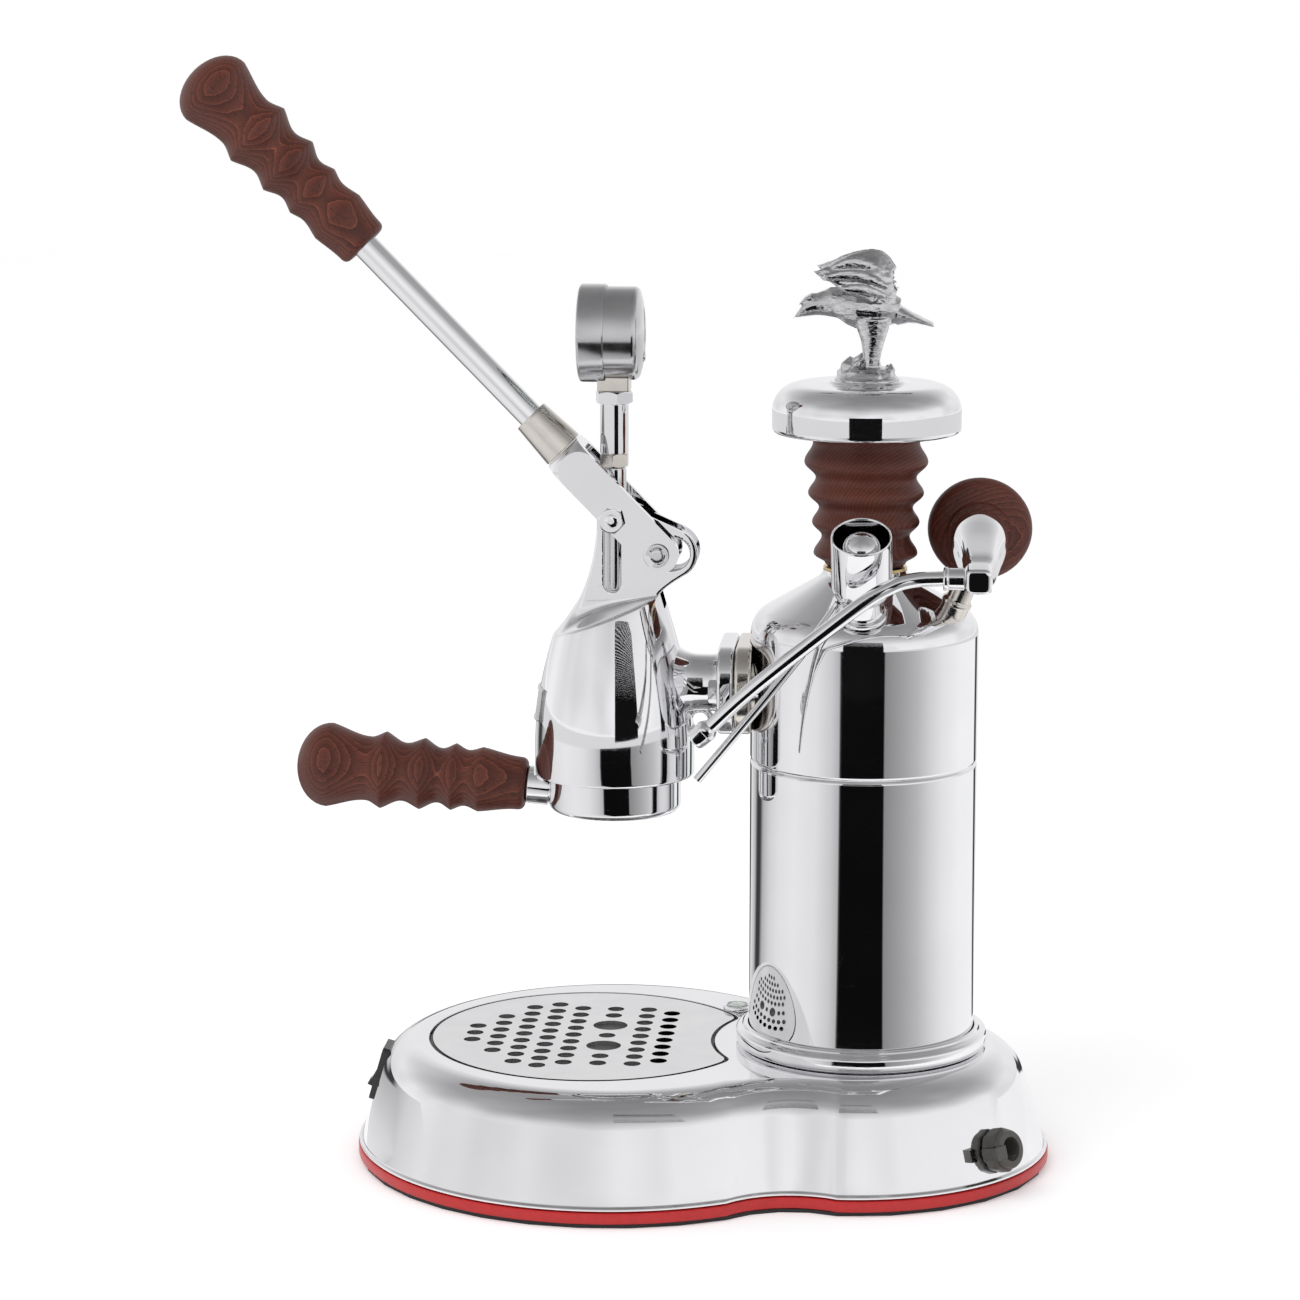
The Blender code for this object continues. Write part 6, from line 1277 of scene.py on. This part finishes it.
# Pressure gauge: a bourdon gauge in a chromed case, on a nickelled square stem, screwed to the rod
# through an adapter with a locknut below and a union nut above.
adapter = hex_piece("gauge_adapter_turned", 0.0111, 0.0055, 0.0008)
bench_turn(adapter, (group_x, 0, 0.2912))
tube_line = in_mm(
    (5.4, 296), (5.4, 296.8), (5.75, 296.8), (5.85, 297.1), (5.85, 316.8), (5.6, 317.3), (5.6, 320))
tube = bench_turn(turn_piece("adapter_tube", tube_line, 64), group_at)
union = bench_turn(hex_piece("union_nut", 0.0140, 0.0050, 0.0009), (group_x, 0, 0.3173))
union.data.transform(Matrix.Rotation(math.radians(14), 4, "Z"))
fit_together(tube, [union], "UNION")
for piece in (adapter, tube):
    thread = turn_piece("thread", in_mm((3.8, 290), (3.8, 302.5)), 40)
    fit_together(piece, [bench_turn(thread, group_at)])
settle(adapter, "piston", ["gauge_adapter"], nickel)
settle(tube, "piston", [], chrome)

gauge_at, gauge_way, dial_depth = (-0.0508, 0, 0.3459), (1, 0, 0), 0.00665
case_line = in_mm((17.8, 11), (18.5, 10.6), (19, 11), (19, 22.2))
case_line += arc_line((0.0164, 0.0222), 0.0026, 0, 72, 8)[1:]
case_line += in_mm((16, 25), (14.5, 25.45), (11, 26.1), (6, 26.5), (2, 26.6))
case = turn_piece("gauge_case_spun", case_line, 96)
hollow = turn_piece("hollow", in_mm((17.7, 9), (17.7, 24.2)), 96)
groove = sheet_cut("relief_slot", rounded_line(0.0013, 0.0072, 0.0012, 6), 0.0258, 0.0280)
groove.data.transform(Matrix.Translation((0, 0.0030, 0)))
screw_well = turn_piece("screw_well", in_mm((2.4, 25.6), (2.4, 28)), 32)
screw_well.data.transform(Matrix.Translation((0, -0.0095, 0)))
fit_together(case, [hollow, groove, screw_well])
bench_turn(case, gauge_at, gauge_way)
stem = sheet_cut("gauge_stem", rounded_line(0.0065, 0.0065, 0.0006, 4), 0.3226, 0.3290)
bench_turn(stem, group_at)
ease_edges(stem, 0.0003, 2, 40)
satin_case = metal("satin_case", (0.66, 0.66, 0.67), (0.48, 0.48, 0.49), 0.13, 0.24, 60, 0.05)
settle(case, "piston", ["gauge_case"], satin_case, crisp=32)
settle(stem, "piston", [], nickel)
screw = turn_piece("case_screw", in_mm((2, 25.4), (2, 26.3), (1.7, 26.7), (0.8, 26.8)), 32)
cut = sheet_cut("driver_slot", rounded_line(0.0003, 0.0030, 0.0001, 2), 0.0262, 0.0275)
fit_together(screw, [cut])
screw.data.transform(Matrix.Translation((0, -0.0095, 0)))
settle(bench_turn(screw, gauge_at, gauge_way), "piston", [], steel)

bezel_line = in_mm(
    (19.2, 11), (19.7, 10.9), (20, 10.4), (20, 1.2), (19.7, 0.4), (19, 0), (17.5, 0), (16.9, 0.3), (16.6, 1),
    (16.6, 2), (17.6, 2.2), (19.2, 2.6), (19.2, 11))
bezel = turn_piece("gauge_bezel_rolled", bezel_line, 96, True)
settle(bench_turn(bezel, gauge_at, gauge_way), "piston", ["gauge_bezel"], satin_case)
pane = turn_piece("gauge_window", in_mm((17.4, 1.5), (17.5, 1.6), (17.5, 2.6), (17.4, 2.7)), 96)
settle(bench_turn(pane, gauge_at, gauge_way), "piston", ["gauge_glass"], glass)
enamel = metal("dial_enamel", (0.86, 0.86, 0.84), (0.80, 0.80, 0.78), 0.30, 0.42, 120)
enamel.node_tree.nodes["Principled BSDF"].inputs["Metallic"].default_value = 0
dial = turn_piece("gauge_dial_plate", in_mm((17.2, 8), (17.5, 7.9), (17.5, 6.9), (17.4, 6.8))[::-1], 96)
settle(bench_turn(dial, gauge_at, gauge_way), "piston", ["gauge_dial"], enamel)
dial_ink = dull_black("dial_ink", (0.02, 0.02, 0.022), 0.45, 0.6, 400, 0.00001)


def on_dial(piece, turn, radius, spin=True):
    """Lay a mark on the dial: a turn in degrees clockwise from straight up, seen from the operator."""
    a = math.radians(turn)
    piece.matrix_world = (Matrix.Translation((gauge_at[0] + dial_depth, 0, gauge_at[2]))
                          @ Matrix(((0, 0, -1, 0), (-1, 0, 0, 0), (0, 1, 0, 0), (0, 0, 0, 1)))
                          @ Matrix.Translation((radius * math.sin(a), radius * math.cos(a), 0))
                          @ Matrix.Rotation(-a if spin else 0, 4, "Z"))


dial_start, dial_sweep = -135, 270
marks = []
for i in range(33):
    width, length, reach = (0.0005, 0.0024, 0.0146) if i % 4 == 0 else (0.00025, 0.0014, 0.0151)
    drop_selection()
    bpy.ops.mesh.primitive_cube_add(size=1)
    tick = bpy.context.object
    tick.data.transform(Matrix.Diagonal((width, length, 0.0002, 1)))
    on_dial(tick, dial_start + dial_sweep * i / 32, reach)
    marks.append(tick)
for i in range(5):
    drop_selection()
    bpy.ops.object.text_add()
    words = bpy.context.object
    words.data.body = str(i * 4)
    words.data.size = 0.0042
    words.data.align_x, words.data.align_y = "CENTER", "CENTER"
    words.data.extrude = 0.0001
    bpy.ops.object.convert(target="MESH")
    words = bpy.context.object
    on_dial(words, dial_start + dial_sweep * i / 4, 0.0112, False)
    marks.append(words)
scale_marks = join_all(marks)
scale_marks.name = "dial_scale"
settle(scale_marks, "piston", [], dial_ink, weighted=False)
needle_line = in_mm(
    (0.9, -4), (1.1, -3.4), (0.6, 0), (0.2, 12.5), (0, 13), (-0.2, 12.5), (-0.6, 0), (-1.1, -3.4),
    (-0.9, -4))
needle = sheet_cut("gauge_needle", needle_line, 0, 0.0004)
hub = turn_piece("needle_hub", in_mm((1.8, -0.3), (1.8, 0.6), (1.4, 0.9), (0.6, 1)), 40)
fit_together(needle, [hub], "UNION")
on_dial(needle, dial_start, 0)
needle.matrix_world = Matrix.Translation((-0.0019, 0, 0)) @ needle.matrix_world
settle(needle, "gauge_pointer", ["gauge_pointer"], black_plastic)

# Lever: a forked and chromed bronze arm straddles the ears. A hexagon bolt joins it to the piston rod,
# a pin with a roller is its moving fulcrum, and a nickelled ferrule holds the chromed steel rod.
lever_bench = Matrix.Translation((group_x, 0, pin_z)) @ Matrix.Rotation(math.radians(-44.3), 4, "Y")
arm_x, fork_top = 0.0040, 0.0338
axis_bench = lever_bench @ Matrix.Translation((arm_x, 0, 0))
tail_x, tail_z = 0.00335, -0.02336
arm_in, arm_out, arm_half = 0.0088, 0.0128, 0.00815


def lay_flat(piece, how="side"):
    """Turn a cut sheet so that it stands across the fork, or along it."""
    if how == "side":
        piece.data.transform(Matrix.Rotation(math.pi / 2, 4, "X"))
    else:
        piece.data.transform(Matrix(((0, 0, 1, 0), (1, 0, 0, 0), (0, 1, 0, 0), (0, 0, 0, 1))))
    return piece


line = arc_line((arm_x, tail_z), arm_half, 180, 360, 40)
line += [(arm_x + arm_half, fork_top), (arm_x - arm_half, fork_top)]
fork = lay_flat(sheet_cut("lever_fork_chromed", line, -arm_out, arm_out))
nose = [(0.0088, fork_top)]
for a in (2, 12, 24, 36, 48, 60, 72, 81, 90):
    nose.append((0.0090 + 0.00617 * math.sin(math.radians(a)), 0.0240 + 0.0098 * math.cos(math.radians(a))))
nose.append((0.01517, -0.0500))
blank = turn_piece("fork_blank", nose[::-1], 144)
blank.data.transform(Matrix.Translation((arm_x, 0, 0)))
fit_together(fork, [blank], "INTERSECT")
root = [(-arm_in, -0.0600), (arm_in, -0.0600)] + arc_line((arm_in - 0.0035, 0.0254), 0.0035, 0, 90, 10)
root += arc_line((-arm_in + 0.0035, 0.0254), 0.0035, 90, 180, 10)
cuts = [lay_flat(sheet_cut("fork_gap", root, -0.02, 0.02), "along")]
for x, z, radius, low, high in (
    (0, 0, 0.0033, -0.02, 0.02), (tail_x, tail_z, 0.0032, -0.02, 0.02),
    (tail_x, tail_z, 0.0057, -0.02, -0.01245), (tail_x, tail_z, 0.0057, 0.01245, 0.02)):
    hole = turn_piece("hole", [(radius, low), (radius, high)], 48)
    hole.data.transform(Matrix.Translation((x, 0, z)) @ Matrix.Rotation(-math.pi / 2, 4, "X"))
    cuts.append(hole)
fit_together(fork, cuts)
ease_edges(fork, 0.0005, 3, 30)
fork.matrix_world = lever_bench
settle(fork, "lever", ["lever_fork"], chrome, crisp=30)

ferrule = turn_piece("lever_ferrule_turned", in_mm(
    (5.8, 34.1), (8.6, 34.1), (9, 34.5), (8.9, 36.2), (8.3, 44), (7.7, 51.8), (7.6, 53), (7.3, 53.4),
    (6.2, 53.5), (5.8, 53.1), (5.8, 34.1)), 96, True)
ferrule.matrix_world = axis_bench
settle(ferrule, "lever", ["lever_ferrule"], nickel, crisp=40)
shaft = turn_piece("lever_rod_chromed", in_mm(
    (5, 34.1), (5.5, 34.6), (5.5, 100), (5.5, 209.5), (5, 210)), 96)
shaft.matrix_world = axis_bench
settle(shaft, "lever", ["lever_rod"], chrome, crisp=40)


def rippled_grip(name, radii, shares, length, bore, depth):
    """A beech grip turned with keen crests, rounded over at its root and domed at its free end."""
    heights = [length * (1 - s) for s in shares]
    heights[-1] = 0.0026
    foot, knob = radii[-1], radii[0]
    line = [(foot - 0.0026, 0), (foot - 0.0016, 0.0002), (foot - 0.0007, 0.0008), (foot - 0.0002, 0.0016)]
    line += ripples(radii[::-1], heights[::-1], 9, 0.6)
    crown = [math.radians(a) for a in (9, 18, 27, 36, 45, 54, 62, 70, 77, 83, 88)]
    line += [(knob * math.cos(a), heights[0] + (length - heights[0]) * math.sin(a)) for a in crown]
    made = turn_piece(name, line, 128)
    fit_together(made, [turn_piece("bore", [(bore, -0.002), (bore, depth)], 48)])
    return made


grip_bench = axis_bench @ Matrix.Translation((0, 0, 0.150))
crests = (0.0166, 0.0126, 0.0152, 0.0115, 0.01405, 0.0108, 0.0127, 0.01105, 0.0126, 0.0110)
shares = (0.12, 0.29, 0.367, 0.468, 0.545, 0.623, 0.688, 0.751, 0.835, 1)
grip = rippled_grip("lever_grip_turned", crests, shares, 0.099, 0.0058, 0.0603)
grip.matrix_world = grip_bench
lever_way = grip_bench.to_3x3() @ Vector((0, 0, 1))
settle(grip, "lever", ["lever_grip"],
       stained_beech("beech_lever_grip", grip_bench.translation, lever_way, 0.4), crisp=50)

bolt = hex_piece("front_bolt_hex", 0.0096, 0.0031, 0.0011, both=False)
crown = turn_piece("bolt_crown", in_mm((3, 2.8), (2.8, 3.3), (2.2, 3.6), (1, 3.7)), 48)
shank = turn_piece("shank", in_mm((3.1, -25.9), (3.1, 1)), 48)
fit_together(bolt, [shank, crown], "UNION")
bolt.data.transform(Matrix.Rotation(math.radians(15), 4, "Z"))
bench_turn(bolt, (group_x, -0.0131, pin_z), (0, -1, 0))
settle(bolt, "lever", ["front_bolt"], chrome)
pin = turn_piece("rear_pin_turned", in_mm(
    (4.2, -14.5), (4.7, -14.1), (4.7, -13.4), (4.4, -13.1), (3, -13.1), (3, 13.1), (2.4, 13.2), (2.4, 14.3),
    (2.8, 14.4), (2.9, 14.7), (2.6, 15), (1.4, 15.1)), 64)
rear_at = (rear_x, 0, rear_z)
settle(bench_turn(pin, rear_at, (0, -1, 0)), "lever", ["rear_pin"], steel, crisp=40)
clip_line = arc_line((0, 0), 0.00475, 34, 326, 40)
for begin, end, radius in (
    (326, 298, 0.00255), (296, 204, 0.0036), (202, 158, 0.00255), (156, 64, 0.0036), (62, 34, 0.00255)):
    clip_line += arc_line((0, 0), radius, begin, end, 6)
clip = sheet_cut("retaining_ring_sprung", clip_line, 0.0134, 0.0141)
ease_edges(clip, 0.00012, 2, 40)
clip.data.transform(Matrix.Rotation(math.radians(-150), 4, "Z"))
settle(bench_turn(clip, rear_at, (0, -1, 0)), "lever", ["retaining_ring"], steel)
roller = turn_piece("rear_roller_turned", in_mm(
    (3.3, -8.4), (5.6, -8.4), (5.9, -8.3), (6, -7.9), (6, 7.9), (5.9, 8.3), (5.6, 8.4), (3.3, 8.4),
    (3.3, -8.4)), 64, True)
settle(bench_turn(roller, rear_at, (0, -1, 0)), "roller", ["rear_roller"], steel, crisp=40)

# Portafilter: a chromed cast ring with two bayonet lugs and a bar, a pressed basket with a pierced
# floor in it, and a turned beech grip like the lever's on a stud.
holder_line = in_mm((24, 148.7), (23.9, 148.5), (23.9, 147.7), (24.1, 147.5))
holder_line += arc_line((0.0242, 0.1508), 0.0033, -84, 0, 12)
holder_line += in_mm(
    (27.5, 161.8), (27.7, 162), (27.7, 162.4), (27.5, 162.6), (27.5, 168), (27.2, 168.3), (24.8, 168.3),
    (24.5, 168), (24.5, 149), (24, 148.7))
holder = bench_turn(turn_piece("portafilter_cast", holder_line, 144, True), group_at)
bar_at, rise = Vector((-0.0628, 0, 0.15635)), math.radians(4.7)
bar_way = Vector((-math.cos(rise), 0, math.sin(rise)))
bar = turn_piece("handle_bar", in_mm((7.9, 0), (7.9, 9.8), (7.6, 10.35), (7.2, 10.64)), 96)
bench_turn(bar, bar_at, bar_way)
near = bench_turn(turn_piece("ring_gap", in_mm((28.3, 140), (28.3, 180)), 144), group_at)
bell_room = bench_turn(turn_piece("bell_room", in_mm((33.7, 162.2), (33.7, 180)), 144), group_at)
fit_together(bar, [near])
apply_step(bar, "BOOLEAN", operation="DIFFERENCE", object=bell_room, solver="EXACT")
ease_edges(bar, 0.0005, 4, 40)
core = bench_turn(turn_piece("bar_core", in_mm((7.1, 0.2), (7.1, 3)), 96), bar_at, bar_way)
stud = bench_turn(turn_piece("stud", in_mm((3, 9), (3, 40.4), (2.7, 40.7)), 40), bar_at, bar_way)
fit_together(core, [bell_room])
lugs = []
for side in (-90, 90):
    wedge = arc_line((0, 0), 0.0299, side - 24, side + 24, 14)
    wedge += arc_line((0, 0), 0.0262, side + 24, side - 24, 14)
    lug = sheet_cut("lug", wedge, 0.1653, 0.1679)
    lugs.append(bench_turn(ease_edges(lug, 0.0003, 2, 40), group_at))
fit_together(holder, [core, bar, stud, *lugs], "UNION")
settle(holder, "portafilter", ["portafilter_body"], chrome)

basket_line = in_mm(
    (0.3, 151), (21.6, 151), (22.1, 151.4), (23.6, 168.6), (23.8, 168.9), (26.6, 168.9), (26.9, 168.7),
    (26.9, 168.4), (24.4, 168.4), (24.2, 168), (22.8, 151), (22.4, 150.5), (21.9, 150.4), (0.3, 150.4))
basket = turn_piece("portafilter_basket_pressed", basket_line, 96)
pins = []
for row in range(-6, 7):
    for column in range(-6, 7):
        x, y = (column + (row % 2) / 2) * 0.0033, row * 0.00286
        if math.hypot(x, y) < 0.0186:
            pins.append(turn_piece("pin", in_mm((0.45, 149), (0.45, 152)), 10))
            pins[-1].data.transform(Matrix.Translation((x, y, 0)))
fit_together(basket, [join_all(pins)])
settle(bench_turn(basket, group_at), "portafilter", ["portafilter_basket"], steel)

crests = (0.0175, 0.0134, 0.0161, 0.0122, 0.01495, 0.01145, 0.0140, 0.01175, 0.0135, 0.0110)
shares = (0.14, 0.309, 0.376, 0.466, 0.545, 0.622, 0.682, 0.739, 0.80, 1)
handle = rippled_grip("portafilter_grip_turned", crests, shares, 0.0965, 0.0033, 0.0303)
handle_at = bar_at + bar_way * 0.01094
settle(bench_turn(handle, handle_at, bar_way), "portafilter", ["portafilter_grip"],
       stained_beech("beech_portafilter_grip", handle_at, bar_way, 0.4), crisp=50)
